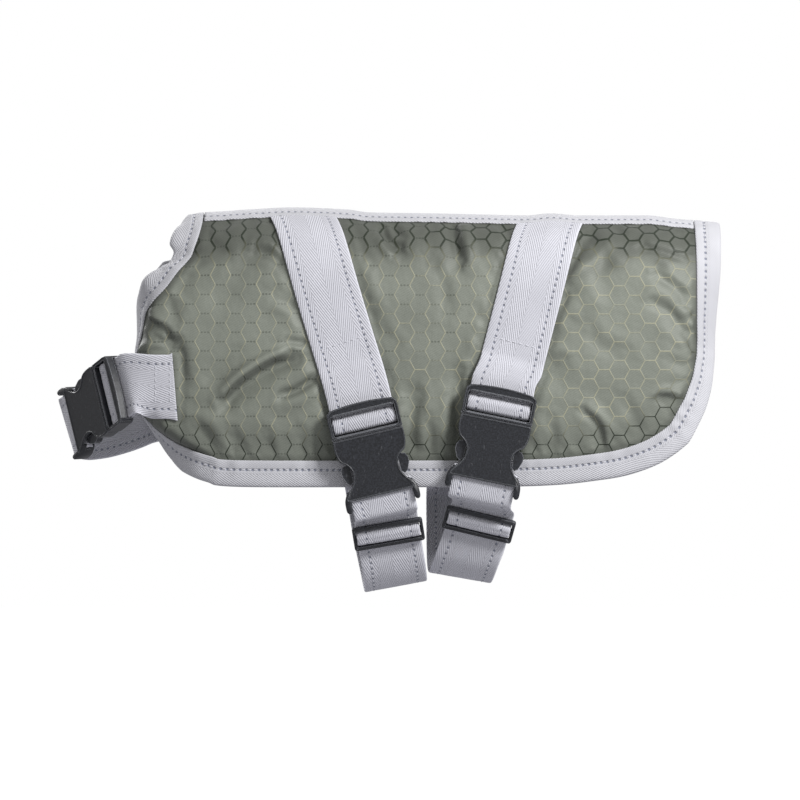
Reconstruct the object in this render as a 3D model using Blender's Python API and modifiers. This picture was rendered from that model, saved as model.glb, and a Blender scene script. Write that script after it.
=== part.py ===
"""Dog coat: two padded side panels joined along the back, taped edges, belly and chest straps.

The tables are in millimetres. x runs from the head end (-) to the tail end (+), y from the
dog's left side (-) to its right side (+), and z upwards. The origin lies under the back seam,
halfway along the coat.
"""

from math import asin, cos, hypot, pi, radians, sin

import bmesh
import bpy
import numpy as np
from mathutils import Matrix, Vector

MM = 0.001

# Cloth and tape
GAP = 0.3                 # between pieces that are sewn together
CLOTH_GAP = 0.6           # under a strap that lies on the padded cloth
FULL_WALL = 5.0           # padded cloth in the middle of a panel
PRESSED_WALL = 4.2        # padded cloth under a sewn side strap
CHEST_WALL = 3.0          # padded cloth under the sewn end of the chest strap
PRESS_MARGIN = 4.0        # how far past a strap the cloth is still pressed
PRESS_RUN = 8.0           # and from there to full thickness
BACK_WALL = 2.4           # padded cloth at the back seam
BACK_FLAT = 10.0          # how far from the seam it stays so thin
BACK_RUN = 20.0           # and from there to full thickness
SEAM_WALL = 1.4           # layers pressed flat inside the edge tape
PUFF_RUN = 24.0           # from the tape to full thickness
TAPE_WIDTH = 16.0         # how far the edge tape reaches over each face
TAPE_WALL = 1.0
RIM_EASE = 0.2            # each face of the cloth's rim is pressed in this much inside the tape
EDGE_SOFTENING = 2        # how many times the edge's directions are evened out
BACK_TAPE_HALF = 16.0
BACK_TAPE_WALL = 1.2
BACK_TAPE_GAP = 0.4
BACK_TAPE_END = 0.5       # from each end of the back tape to the edge tape
ROLL_RADIUS = 11.0        # how sharply the front edge rolls in round the chest
REAR_RADIUS = 14.0

# Webbing
WEB_HALF = 19.0
WEB_WALL = 1.4
FREE_LIFT = 6.2           # webbing that hangs free down the side, from the panel's inner face
BUCKLE_LIFT = 5.7         # back of a belly buckle, from the panel's inner face

# Buckles, seen from the front: across, up the strap, and outwards from the back face
BUCKLE_HALF = 21.4
BUCKLE_DEPTH = 9.0
WINDOW_HALF = 19.4
SHOULDER = -17.2
SOCKET_TOP = -17.5
SOCKET_END = -54.5
SOCKET_BAR = -50.5
SOCKET_FOOT = -60.3
SOCKET_BAR_OUT = 4.0

# Sliders
SLIDER_HALF = (21.2, 8.0)
SLIDER_SLOT = (1.8, 5.2)
SLIDER_WALL = 2.4

PANEL_CELLS = (30, 18)    # along the back, round the girth
CROWD = 1.35              # cells are smaller near the back and the neck


def table(columns, rows):
    """One array for each named column."""
    return dict(zip(columns.split(), (np.array(column, float) for column in zip(*rows))))


# How one side of the coat falls from the back seam: distance round the girth, slope in degrees
SECTION = table("girth slope", [
    (0, 0), (4, 20), (16, 37), (24, 48), (32, 60), (40, 69), (50, 79),
    (70, 86), (110, 87), (140, 90), (165, 93), (215, 95)])

# The line of the back: its rise, and how wide the coat is there
BACK = table("x rise width", [
    (-190, 2.4, 1.04), (-157, 2.4, 1.04), (-134, 2.4, 1.05), (-120, 3.0, 1.06), (-95, 4.2, 1.05),
    (-62, 3.0, 1.02), (-48, 1.2, 1.01), (-10, 0.6, 1.0), (17, 0.0, 1.0), (46, -0.6, 1.0),
    (60, 0.6, 1.0), (78, -0.6, 1.0), (118, -0.6, 0.98), (132, -1.8, 0.97), (154, -2.8, 0.95),
    (165, -3.6, 0.94)])

# The cloth's neck and chest edge: where it lies in the side view, how far it rolls inwards,
# and how much of the tape's width stands out there (the neck puckers at the side of the throat)
FRONT = table("z cloth turn reach", [
    (4.0, -147, 6, 1.0), (-4, -147.6, 12, 1.0), (-12, -149.4, 18, 1.0), (-18, -151.6, 28, 1.0),
    (-23, -153.5, 38, 0.8), (-27.5, -157, 34, 0.8), (-32, -161, 24, 1.0), (-42, -168.6, 26, 1.0),
    (-49, -175.4, 46, 1.0), (-55, -179.4, 72, 1.0), (-70, -182.4, 84, 1.0), (-80, -185, 90, 1.0),
    (-100, -186.3, 94, 1.0), (-115, -182, 94, 1.0), (-124, -174.6, 92, 1.0), (-131, -165.6, 86, 1.0),
    (-137, -155, 74, 1.0), (-142, -147, 62, 1.0), (-150, -142, 46, 1.0), (-160, -137, 28, 1.0)])

# The cloth's tail edge
REAR = table("z cloth turn", [
    (4.0, 146.0, 4), (-20, 146.0, 16), (-50, 145.6, 34), (-76, 145.5, 50), (-91, 143.5, 42),
    (-105, 139, 26), (-114, 134.5, 14), (-123, 129.5, 8), (-146, 100, 0)])

# The cloth's lower edge, from the front corner to the rear corner
HEM = table("x z", [
    (-160.6, -133.4), (-152.6, -137.4), (-141.6, -141), (-128, -143.3), (-60, -143.6), (20, -143.4),
    (60, -142.4), (86, -139.6), (101, -137), (115, -132.2), (124, -127), (129.5, -122.5)])

# The largest creases of each side: ends in the side view, height (troughs are below 0), width
LEFT_FOLDS = table("x0 z0 x1 z1 height width", [
    (-134, -110, -96, -83, -2.2, 7), (-132, -121, -88, -96, 1.2, 8), (-100, -104, -82, -95, -1.3, 5),
    (-165, -76, -158, -108, -1.6, 8), (-178, -52, -166, -75, -1.2, 5), (-36, -2, -30, -22, -1.6, 6),
    (1, -4, 3, -30, -1.5, 5), (84, -12, 92, -28, -1.5, 5), (78, -34, 86, -50, 1.2, 6),
    (124, -32, 142, -52, -1.4, 5), (126, -50, 144, -72, -1.3, 6), (131, -104, 124, -114, -1.4, 6),
    (92, -118, 84, -132, -1.3, 6), (-24, -104, -26, -134, -1.6, 7), (4, -95, 6, -138, -1.8, 7),
    (-120, -30, -138, -48, -1.0, 7), (44, -72, 64, -96, -1.1, 8)])

RIGHT_FOLDS = table("x0 z0 x1 z1 height width", [
    (-140, -98, -100, -80, -2.0, 7), (-136, -112, -104, -100, 1.2, 8), (-166, -82, -156, -112, -1.5, 8),
    (-175, -55, -162, -72, -1.2, 5), (-30, -6, -28, -30, -1.5, 6), (8, -8, 4, -34, -1.4, 5),
    (84, -12, 92, -34, -1.6, 6), (78, -40, 90, -52, 1.1, 6), (118, -40, 140, -58, -1.4, 5),
    (122, -70, 142, -86, -1.3, 6), (120, -98, 108, -120, -1.5, 6), (-8, -100, -14, -132, -1.6, 7),
    (66, -84, 74, -124, -1.4, 7), (-112, -34, -134, -56, -1.0, 7)])

# Straps on the sides: centre at the back tape, at the cross stitch, and where each buckle starts
LEFT_STRAPS = {
    "front": {"top": -86.5, "cross": (-60.6, -84.6), "buckle": (-53.4, -110.7), "lean": 13.4},
    "rear": {"top": 58.5, "cross": (37.5, -81.9), "buckle": (30.6, -102.6), "lean": -11.8},
}
RIGHT_STRAPS = {
    "front": {"top": -86.5, "cross": (-60.6, -84.6), "hem": (-44.5, -158)},
    "rear": {"top": 58.5, "cross": (33.0, -82.0), "hem": (4.8, -154)},
}

# Belly webbing, from the right hem round to the left buckle: centre line, tilt across the width
BELLY = {
    "front": table("x y z tilt", [
        (-43, 42.0, -168, 12), (-39.5, 33.5, -188, 11), (-35, 19, -209, 10.5), (-33, 6.5, -218.2, 10.5),
        (-32.5, -5, -217.6, 10.5), (-33.6, -16, -208, 10.8)]),
    "rear": table("x y z tilt", [
        (4.9, 42.0, -164, -16), (4.8, 33.5, -183, -12), (5.0, 19, -204.5, -10.5), (5.6, 6.5, -213, -10),
        (6.8, -5, -212.2, -10), (10.2, -16, -202.6, -10)]),
}
SLIDERS = {
    "front": {"centre": (-36.9, -29.5, -187.5), "tilt": 11.3, "lean": 9.0, "slant": 33.0},
    "rear": {"centre": (17.0, -29.5, -181.8), "tilt": -9.9, "lean": -15.0, "slant": 33.0},
}

# Chest strap: sewn ends on the two sides, and the buckle between them
CHEST_LEFT = {"sewn": (-162.0, -174.5), "z": -100.0, "slope": 0.0}
CHEST_RIGHT = {"sewn": (-148.0, -161.0), "z": -108.5, "slope": 0.22}
CHEST_BUCKLE = (-193.0, -31.0, -100.2)
CHEST_ALONG = (0.5, -0.781, 0.368)
CHEST_OUT = (-0.83, -0.556, -0.044)
CHEST_LOOP = table("x y z", [
    (-227.6, 26, -125.4), (-222.5, 36.5, -126.4), (-210, 43.5, -124.8), (-196, 46, -120.6),
    (-184, 45, -115.6)])

# Rows of the lofted webbing, and how far down a right strap its free rows lie
SEWN_ROWS = 12
BELLY_ROWS = 17
CHEST_ROWS = 14
FREE_ROWS = (14.0, 28.0, 44.0, 60.0, 74.0)


# ---------------------------------------------------------------- curves through the tables

def smooth(position, knots, values):
    """A curve through a table's points that never swings past them."""
    position = np.clip(position, knots[0], knots[-1])
    gaps = np.diff(knots)
    rises = np.diff(values) / gaps
    before, after = rises[:-1], rises[1:]
    total = np.where(before + after == 0, 1, before + after)
    inner = np.where(before * after > 0, 2 * before * after / total, 0)
    slopes = np.concatenate(([rises[0]], inner, [rises[-1]]))
    cell = np.clip(np.searchsorted(knots, position) - 1, 0, len(gaps) - 1)
    t = (position - knots[cell]) / gaps[cell]
    start = values[cell] * (1 + 2 * t) * (1 - t) ** 2 + gaps[cell] * slopes[cell] * t * (1 - t) ** 2
    end = values[cell + 1] * t * t * (3 - 2 * t) - gaps[cell] * slopes[cell + 1] * t * t * (1 - t)
    return start + end


def ease(t):
    """0 to 1 with soft ends."""
    t = min(max(t, 0.0), 1.0)
    return t * t * (3 - 2 * t)


def spline(points, count):
    """A smooth curve of `count` points through control points, evenly spaced."""
    points = np.array(points, float)
    padded = np.vstack((2 * points[0] - points[1], points, 2 * points[-1] - points[-2]))
    dense = []
    for a, b, c, d in zip(padded, padded[1:], padded[2:], padded[3:]):
        for t in np.linspace(0, 1, 24, endpoint=False):
            dense.append(0.5 * (2 * b + (c - a) * t + (2 * a - 5 * b + 4 * c - d) * t ** 2
                                + (3 * b - a - 3 * c + d) * t ** 3))
    dense = np.array(dense + [points[-1]])
    steps = np.concatenate(([0], np.cumsum(np.linalg.norm(np.diff(dense, axis=0), axis=1))))
    wanted = np.linspace(0, steps[-1], count)
    return np.stack([np.interp(wanted, steps, column) for column in dense.T], axis=1)


GIRTH = np.linspace(0, SECTION["girth"][-1], 431)
SLOPE = np.radians(smooth(GIRTH, SECTION["girth"], SECTION["slope"]))
STEP = GIRTH[1]
HALF_WIDTH = np.concatenate(([0], np.cumsum(STEP * np.cos((SLOPE[1:] + SLOPE[:-1]) / 2))))
DROP = np.concatenate(([0], np.cumsum(STEP * np.sin((SLOPE[1:] + SLOPE[:-1]) / 2))))


def girth_at(z):
    """How far round the girth a height in the side view lies."""
    return float(np.interp(-z, DROP, GIRTH))


# ---------------------------------------------------------------- the side of the coat

def edge_roll(s, end):
    """Where an end of the panel starts to roll in, how far it turns, and its radius."""
    rows = FRONT if end < 0 else REAR
    radius = ROLL_RADIUS if end < 0 else REAR_RADIUS
    z = -float(np.interp(s, GIRTH, DROP))
    cloth = float(smooth(-z, -rows["z"], rows["cloth"]))
    turn = radians(float(smooth(-z, -rows["z"], rows["turn"])))
    start = cloth - end * radius * sin(min(turn, pi / 2))
    return start, turn, radius


def flat_x(x, s):
    """The flat place along the back of a point seen at x in the side view."""
    for end in (-1, 1):
        start, turn, radius = edge_roll(s, end)
        over = end * (x - start)
        if over > 0:
            angle = asin(min(over / radius, 1.0))
            if angle <= turn:
                return start + end * radius * angle
            rest = (over - radius * sin(turn)) / max(cos(turn), 0.2)
            return start + end * (radius * turn + rest)
    return x


def panel_point(u, s, lift, side=-1):
    """A point of a side: u along the back, s round the girth, lift outwards from the inner face."""
    x, inward, tip = u, 0.0, 0.0
    for end in (-1, 1):
        start, turn, radius = edge_roll(s, end)
        over = end * (u - start)
        if over > 0:
            angle = min(over / radius, turn)
            rest = over - radius * angle
            x = start + end * (radius * sin(angle) + rest * cos(angle))
            inward = radius * (1 - cos(angle)) + rest * sin(angle)
            tip = end * angle
    slope = float(np.interp(s, GIRTH, SLOPE))
    half = float(np.interp(s, GIRTH, HALF_WIDTH)) * float(smooth(x, BACK["x"], BACK["width"]))
    rise = float(smooth(x, BACK["x"], BACK["rise"])) * np.exp(-(s / 45) ** 2)
    out = cos(tip) * lift - inward
    y = half + out * sin(slope)
    z = rise - float(np.interp(s, GIRTH, DROP)) + out * cos(slope)
    return Vector((x + sin(tip) * lift, side * y, z))


def cloth_outline():
    """The cloth's edge on the flat: down the front, along the hem and up the rear."""
    corner_front = girth_at(HEM["z"][0])
    corner_rear = girth_at(HEM["z"][-1])
    back = 0.5 * GAP

    def end_curve(corner, end):
        flat = []
        for s in np.linspace(back, corner, 60):
            start, turn, radius = edge_roll(s, end)
            flat.append((start + end * radius * turn, s))
        return flat

    front = end_curve(corner_front, -1)
    rear = end_curve(corner_rear, 1)
    hem = []
    for x, z in zip(HEM["x"], HEM["z"]):
        s = girth_at(z)
        hem.append((flat_x(x, s), s))
    hem[0], hem[-1] = front[-1], rear[-1]
    return front, hem, rear


FRONT_LINE, HEM_LINE, REAR_LINE = cloth_outline()


def resample(line, fractions):
    """Points at fractions of the way along a flat line."""
    line = np.array(line, float)
    steps = np.concatenate(([0], np.cumsum(np.linalg.norm(np.diff(line, axis=0), axis=1))))
    wanted = np.array(fractions) * steps[-1]
    return np.stack([np.interp(wanted, steps, column) for column in line.T], axis=1)


def hem_curve(count):
    """The lower edge as a smooth flat curve."""
    flat = spline([(a, b, 0.0) for a, b in HEM_LINE], count)
    return flat[:, :2]


def panel_grid():
    """Flat places of the panel's cells, blended from its four edges."""
    along, around = PANEL_CELLS
    back = 0.5 * GAP
    top = np.linspace((FRONT_LINE[0][0], back), (REAR_LINE[0][0], back), along + 1)
    low = hem_curve(along + 1)
    fractions = np.linspace(0, 1, around + 1) ** CROWD
    front = resample(FRONT_LINE, fractions)
    rear = resample(REAR_LINE, fractions)
    grid = np.zeros((along + 1, around + 1, 2))
    for i in range(along + 1):
        a = i / along
        for j in range(around + 1):
            b = fractions[j]
            corners = ((1 - a) * (1 - b) * top[0] + a * (1 - b) * top[-1]
                       + (1 - a) * b * low[0] + a * b * low[-1])
            grid[i, j] = (1 - b) * top[i] + b * low[i] + (1 - a) * front[j] + a * rear[j] - corners
    return grid


def edge_loop():
    """Indices of the panel's free edge: down the front, along the hem, up the rear."""
    along, around = PANEL_CELLS
    down = [(0, j) for j in range(around + 1)]
    across = [(i, around) for i in range(1, along + 1)]
    up = [(along, j) for j in range(around - 1, -1, -1)]
    return down + across + up


def softened(vectors):
    """Unit vectors evened out along the edge, with the two at the back seam kept in its plane."""
    for _ in range(EDGE_SOFTENING):
        vectors[1:-1] = (vectors[:-2] + 2 * vectors[1:-1] + vectors[2:]) / 4
    vectors[[0, -1], 1] = 0.0
    return vectors / np.linalg.norm(vectors, axis=1)[:, None]


def edge_frames():
    """Left side: place of each edge station, direction out of the cloth, normal and tape reach."""
    places = np.array([panel_point(u, s, 0.0) for u, s in EDGE_LINE])
    normals = softened(np.array([panel_point(u, s, 1.0) for u, s in EDGE_LINE]) - places)
    runs = np.gradient(places, axis=0)
    runs[0], runs[-1] = (0, -1, 0), (0, 1, 0)
    outs = softened(np.cross(runs, normals) / np.linalg.norm(runs, axis=1)[:, None])
    normals -= outs * np.sum(outs * normals, axis=1)[:, None]
    normals /= np.linalg.norm(normals, axis=1)[:, None]
    reach = [float(smooth(np.interp(s, GIRTH, DROP), -FRONT["z"], FRONT["reach"])) if u < 0 else 1.0
             for u, s in EDGE_LINE]
    return places, outs, normals, reach


def edge_point(k, reach, lift, side=-1):
    """A point of the edge strip at station k: reach out of the cloth, lift from its inner face."""
    places, outs, normals, shares = EDGE_FRAMES
    x, y, z = places[k] + outs[k] * reach * shares[k] + normals[k] * lift
    return Vector((x, -side * y, z))


def edge_leans():
    """For each step along the edge, whether its shorter diagonal starts on the cloth's side."""
    near = [edge_point(k, 0.0, SEAM_WALL / 2) for k in range(len(EDGE_LINE))]
    far = [edge_point(k, TAPE_WIDTH, SEAM_WALL / 2) for k in range(len(EDGE_LINE))]
    return [(near[k] - far[k + 1]).length <= (near[k + 1] - far[k]).length for k in range(len(near) - 1)]


GRID = panel_grid()
EDGE_LINE = np.array([GRID[i, j] for i, j in edge_loop()])
EDGE_FRAMES = edge_frames()
EDGE_LEANS = edge_leans()


def strap_line(strap, low):
    """Flat start and end of a strap's centre line on a side."""
    top_s = BACK_TAPE_HALF + GAP
    x, z = strap[low]
    return np.array((strap["top"], top_s)), np.array((x, girth_at(z)))


def fold_height(u, s, folds):
    """The creases' height at a flat place."""
    total = 0.0
    for x0, z0, x1, z1, height, width in zip(*folds.values()):
        a = np.array((x0, girth_at(z0)))
        b = np.array((x1, girth_at(z1)))
        along = float(np.dot((u, s) - a, b - a) / np.dot(b - a, b - a))
        near = a + (b - a) * min(max(along, 0), 1)
        away = hypot(u - near[0], s - near[1]) / width
        if away < 2.2:
            total += height * np.exp(-away * away)
    return total


def pressed_zones(side):
    """Stretches of sewn webbing on a side: start and end of the centre line, and the cloth's wall."""
    zones = []
    for strap in (LEFT_STRAPS if side < 0 else RIGHT_STRAPS).values():
        zones.append((*strap_line(strap, "buckle" if side < 0 else "cross"), PRESSED_WALL))
    patch = CHEST_LEFT if side < 0 else CHEST_RIGHT
    s = girth_at(patch["z"])
    zones.append((np.array((patch["sewn"][0], s)), np.array((patch["sewn"][1] - 4.0, s)), CHEST_WALL))
    return zones


ZONES = {side: pressed_zones(side) for side in (-1, 1)}


def wall(u, s, side):
    """Thickness of the padded cloth at a flat place."""
    thick = FULL_WALL + fold_height(u, s, LEFT_FOLDS if side < 0 else RIGHT_FOLDS)
    for start, end, pressed in ZONES[side]:
        run = (end - start) / np.linalg.norm(end - start)
        along = float(np.dot((u, s) - start, run))
        across = abs(float(np.dot((u, s) - start, (run[1], -run[0])))) - WEB_HALF
        beyond = max(-along, along - float(np.linalg.norm(end - start)), 0.0)
        away = hypot(max(across, 0.0), beyond)
        thick = pressed + (thick - pressed) * ease((away - PRESS_MARGIN) / PRESS_RUN)
    thick = BACK_WALL + (thick - BACK_WALL) * ease((s - BACK_FLAT) / BACK_RUN)
    edge = min(hypot(u - a, s - b) for a, b in EDGE_LINE)
    return SEAM_WALL + (thick - SEAM_WALL) * ease(edge / PUFF_RUN)


# ---------------------------------------------------------------- meshes and materials

def material(name, colour, roughness):
    """A plain finish for one sub-part."""
    made = bpy.data.materials.new(name)
    made.use_nodes = True
    shader = made.node_tree.nodes["Principled BSDF"]
    shader.inputs["Base Color"].default_value = (*colour, 1.0)
    shader.inputs["Roughness"].default_value = roughness
    shader.inputs["Metallic"].default_value = 0.0
    return made


def add_object(name, mesh, collection, finish):
    """Put a mesh in the coat's collection under its node's name."""
    made = bpy.data.objects.new(name, mesh)
    collection.objects.link(made)
    if finish is not None:
        made.data.materials.clear()
        made.data.materials.append(finish)
    return made


def halves(points, face):
    """Split a four-sided face along its shorter diagonal, so that layers fold alike."""
    if len(face) != 4:
        return [face]
    a, b, c, d = (Vector(points[index]) for index in face)
    if (a - c).length <= (b - d).length:
        return [(face[0], face[1], face[2]), (face[0], face[2], face[3])]
    return [(face[0], face[1], face[3]), (face[1], face[2], face[3])]


def mesh_from_faces(name, points, faces):
    """A closed mesh from points in millimetres, with its faces turned outwards."""
    shape = bmesh.new()
    made = [shape.verts.new(Vector(point) * MM) for point in points]
    for face in faces:
        for corners in halves(points, face):
            shape.faces.new([made[index] for index in corners])
    bmesh.ops.recalc_face_normals(shape, faces=shape.faces)
    mesh = bpy.data.meshes.new(name)
    shape.to_mesh(mesh)
    shape.free()
    mesh.shade_smooth()
    mesh.set_sharp_from_angle(angle=radians(45))
    return mesh


def loft(name, rings):
    """A closed body through rings of the same number of points."""
    count = len(rings[0])
    points = [point for ring in rings for point in ring]
    faces = []
    for row in range(len(rings) - 1):
        for k in range(count):
            after = (k + 1) % count
            faces.append((row * count + k, row * count + after,
                          (row + 1) * count + after, (row + 1) * count + k))
    last = (len(rings) - 1) * count
    faces.append(tuple(range(count)))
    faces.append(tuple(last + k for k in range(count)))
    return mesh_from_faces(name, points, faces)


# ---------------------------------------------------------------- padded side panels

def make_panel(name, side, collection, finish):
    """One padded side, with its edge pressed flat to go inside the tape."""
    loop = edge_loop()
    along, around = PANEL_CELLS
    points, faces, index = [], [], {}

    def add(key, inner, outer):
        index[key, "in"], index[key, "out"] = len(points), len(points) + 1
        points.extend((inner, outer))

    for i in range(along + 1):
        for j in range(around + 1):
            u, s = GRID[i, j]
            add((i, j), panel_point(u, s, 0.0, side), panel_point(u, s, wall(u, s, side), side))
    rim_reach = TAPE_WIDTH - TAPE_WALL - 2 * GAP
    for k in range(len(loop)):
        rim_faces = (edge_point(k, rim_reach, lift, side) for lift in (RIM_EASE, SEAM_WALL - RIM_EASE))
        add(("edge", k), *rim_faces)

    def sheet(*keys):
        for face in ("in", "out"):
            faces.append([index[key, face] for key in keys])

    for i in range(along):
        for j in range(around):
            sheet((i, j), (i + 1, j), (i + 1, j + 1), (i, j + 1))
    rim = [("edge", k) for k in range(len(loop))]
    for k, lean in enumerate(EDGE_LEANS):
        strip = (loop[k], loop[k + 1], rim[k + 1], rim[k])
        for corners in ((0, 1, 2), (0, 2, 3)) if lean else ((0, 1, 3), (1, 2, 3)):
            sheet(*(strip[corner] for corner in corners))
    back = [rim[0]] + [(i, 0) for i in range(along + 1)] + [rim[-1]]
    for a, b in list(zip(rim, rim[1:])) + list(zip(back, back[1:])):
        faces.append([index[a, "in"], index[b, "in"], index[b, "out"], index[a, "out"]])
    return add_object(name, mesh_from_faces(name, points, faces), collection, finish)


# ---------------------------------------------------------------- tapes

def tape_shape():
    """Section of the edge tape, folded over the pressed edge of the cloth: (reach, lift)."""
    top = SEAM_WALL + GAP
    skin = top + TAPE_WALL
    inner = TAPE_WIDTH - TAPE_WALL - GAP
    eased = TAPE_WIDTH - 0.8 * TAPE_WALL
    return [(0.0, skin), (eased, skin), (TAPE_WIDTH, 0.5 * SEAM_WALL), (eased, -GAP - TAPE_WALL),
            (0.0, -GAP - TAPE_WALL), (0.0, -GAP), (inner, -GAP), (inner, top), (0.0, top)]


def make_binding(name, chosen, setback, collection, finish):
    """One length of edge tape over both sides, carried across the back; its ends can be set back."""
    shape = tape_shape()
    rings, stations = [], []
    for side, order in ((-1, chosen), (1, chosen[::-1][1:])):
        for k in order:
            ring = [edge_point(k, reach, lift, side) for reach, lift in shape]
            if k in (0, len(EDGE_LINE) - 1):
                ring = [Vector((x, 0.0, z)) for x, y, z in ring]
            elif k == chosen[0] and setback > 0:
                after = [edge_point(k + 1, reach, lift, side) for reach, lift in shape]
                ring = [point.lerp(other, setback) for point, other in zip(ring, after)]
            rings.append(ring)
            stations.append(k)
    count = len(shape)
    points = [point for ring in rings for point in ring]
    faces = [tuple(range(count)), tuple(len(points) - count + k for k in range(count))]
    for row, (here, there) in enumerate(zip(stations, stations[1:])):
        lean = EDGE_LEANS[min(here, there)] == (here < there)
        for k in range(count):
            low, high = sorted((k, (k + 1) % count), key=lambda corner: shape[corner][0])
            a, b = row * count + low, row * count + high
            c, d = b + count, a + count
            faces += [(a, b, c), (a, c, d)] if lean else [(a, b, d), (b, c, d)]
    return add_object(name, mesh_from_faces(name, points, faces), collection, finish)


def binding_parts():
    """Which stations of the edge each tape covers, and the part of a step that parts the two.

    They meet under the chest strap.
    """
    split = int(np.argmin(np.abs(EDGE_LINE[:PANEL_CELLS[1], 1] - girth_at(CHEST_LEFT["z"]))))
    step = (edge_point(split + 1, 0.0, 0.0) - edge_point(split, 0.0, 0.0)).length
    return list(range(split, -1, -1)), list(range(split, len(EDGE_LINE))), GAP / step


def make_back_tape(collection, finish):
    """Tape over the back seam."""
    start = FRONT_LINE[0][0] + BACK_TAPE_END
    end = REAR_LINE[0][0] - BACK_TAPE_END
    across = (-BACK_TAPE_HALF, -9.0, -4.0, 0.0, 4.0, 9.0, BACK_TAPE_HALF)
    rings = []
    for u in np.linspace(start, end, PANEL_CELLS[0] + 1):
        under, over = [], []
        for s in across:
            side = -1 if s < 0 else 1
            lift = wall(u, abs(s), side) + BACK_TAPE_GAP
            under.append(panel_point(u, abs(s), lift, side))
            over.append(panel_point(u, abs(s), lift + BACK_TAPE_WALL, side))
        rings.append(under + over[::-1])
    return add_object("spine_tape", loft("spine_tape", rings), collection, finish)


# ---------------------------------------------------------------- webbing

ACROSS = (-WEB_HALF, -WEB_HALF / 2, 0.0, WEB_HALF / 2, WEB_HALF)


def laid_row(places, lift, side, over_cloth=True):
    """Webbing laid on a side of the coat at flat places across its width."""
    under, over = [], []
    for u, s in places:
        height = lift + (wall(u, s, side) + CLOTH_GAP if over_cloth else 0.0)
        under.append(panel_point(u, s, height, side))
        over.append(panel_point(u, s, height + WEB_WALL, side))
    return under, over


def strap_places(start, end, along, top_cut=0.0):
    """Flat places across a strap, `along` from the start of its centre line."""
    run = (end - start) / np.linalg.norm(end - start)
    cross = np.array((run[1], -run[0]))
    slide = -top_cut * cross[1] / run[1]
    return [start + run * (along + slide * w) + cross * w for w in ACROSS]


def sewn_rows(start, end, side):
    """Webbing sewn on a side, its upper end cut along the back tape."""
    length = float(np.linalg.norm(end - start))
    return [laid_row(strap_places(start, end, t * length, 1 - ease(t * 3)), 0.0, side)
            for t in np.linspace(0, 1, SEWN_ROWS)]


def free_row(centre, across, run, flip=1):
    """Webbing in the air: its centre, the direction across it and the way it runs."""
    run = Vector(run).normalized()
    across = Vector(across)
    across = (across - run * across.dot(run)).normalized()
    out = across.cross(run) * flip
    under = [centre + across * w - out * (WEB_WALL / 2) for w in ACROSS]
    over = [centre + across * w + out * (WEB_WALL / 2) for w in ACROSS]
    return under, over


def local_rows(place, route, flip=1):
    """Webbing along a route of (up, out) points in a buckle's or slider's own frame."""
    rows = []
    for k, (up, out) in enumerate(route):
        before = Vector((0, *route[max(k - 1, 0)]))
        after = Vector((0, *route[min(k + 1, len(route) - 1)]))
        run = place.to_3x3() @ (after - before)
        rows.append(free_row(place @ Vector((0, up, out)), place.to_3x3() @ Vector((1, 0, 0)), run, flip))
    return rows


def make_webbing(name, rows, collection, finish):
    """One length of webbing through its rows."""
    rings = [under + over[::-1] for under, over in rows]
    return add_object(name, loft(name, rings), collection, finish)


def arc_route(centre, radius, start, end, count):
    """Points round a bar, as (up, out) in its own frame."""
    angles = np.radians(np.linspace(start, end, count))
    return [(centre[0] + radius * cos(a), centre[1] + radius * sin(a)) for a in angles]


PLUG_BAR = ((-12.2, -7.9), (2.9, 5.5))      # up and out limits of the plug's webbing bar
TOP_BAR_BACK = 4.7                          # how high the plug's top bar stands off the cloth

# Webbing into the plug: under the top bar, over the webbing bar, round it and back up behind
PLUG_ROUTE = ([(6.0, 2.8), (1.0, 3.0), (-3.0, 3.15), (-4.9, 4.3), (-6.3, 5.8), (-7.7, 6.75), (-11.2, 6.75)]
              + arc_route((-11.4, 4.15), 2.6, 125, 250, 4)
              + [(-11.0, 1.55), (-7.0, 1.2), (-2.0, 0.95), (5.0, 0.9)])

# Webbing out of the socket: up in front of its bar, over it and back down behind
BELLY_LEAD = [(-66.0, 4.6), (-60.0, 6.0)]
CHEST_LEAD = [(-61.0, 4.7), (-58.0, 5.9)]
CHEST_ENTRY = (0.0, -64.5, 2.6)
SOCKET_ROUTE = ([(-54.5, 6.6), (-51.0, 6.6)]
                + arc_route((SOCKET_BAR, SOCKET_BAR_OUT), 2.6, 60, -60, 4)
                + [(-51.5, 1.4), (-55.0, 1.2), (-59.0, 1.1)])

SLIDER_ENTRY = (0.0, -13.0, -2.3)

# Webbing through a slider, upwards: behind the low bar, over the middle bar, behind the top bar
SLIDER_ROUTE = [(-10.0, -2.3), (-6.4, -2.3), (-5.0, -2.25), (-4.25, -1.8), (-3.85, -0.9), (-3.15, 0.9),
                (-2.75, 1.8), (-2.0, 2.25), (0.0, 2.3), (2.0, 2.25), (2.75, 1.8), (3.15, 0.9),
                (3.85, -0.9), (4.25, -1.8), (5.0, -2.25), (6.4, -2.3), (10.0, -2.3)]


# ---------------------------------------------------------------- places of the hardware

def side_frame(strap):
    """Frame of a belly buckle: across, up the strap and outwards, at the top of its plug."""
    x, z = strap["buckle"]
    lean = radians(strap["lean"])
    origin = panel_point(x, girth_at(z), BUCKLE_LIFT)
    low = panel_point(x + 50 * sin(lean), girth_at(z - 50 * cos(lean)), BUCKLE_LIFT)
    up = (origin - low).normalized()
    across = Vector((cos(lean), 0, sin(lean)))
    across = (across - up * across.dot(up)).normalized()
    return frame_matrix(origin, across, up)


def frame_matrix(origin, across, up):
    """A matrix from an origin and the directions across and up."""
    out = across.cross(up)
    rows = Matrix((across, up, out)).transposed().to_4x4()
    return Matrix.Translation(origin) @ rows


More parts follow.
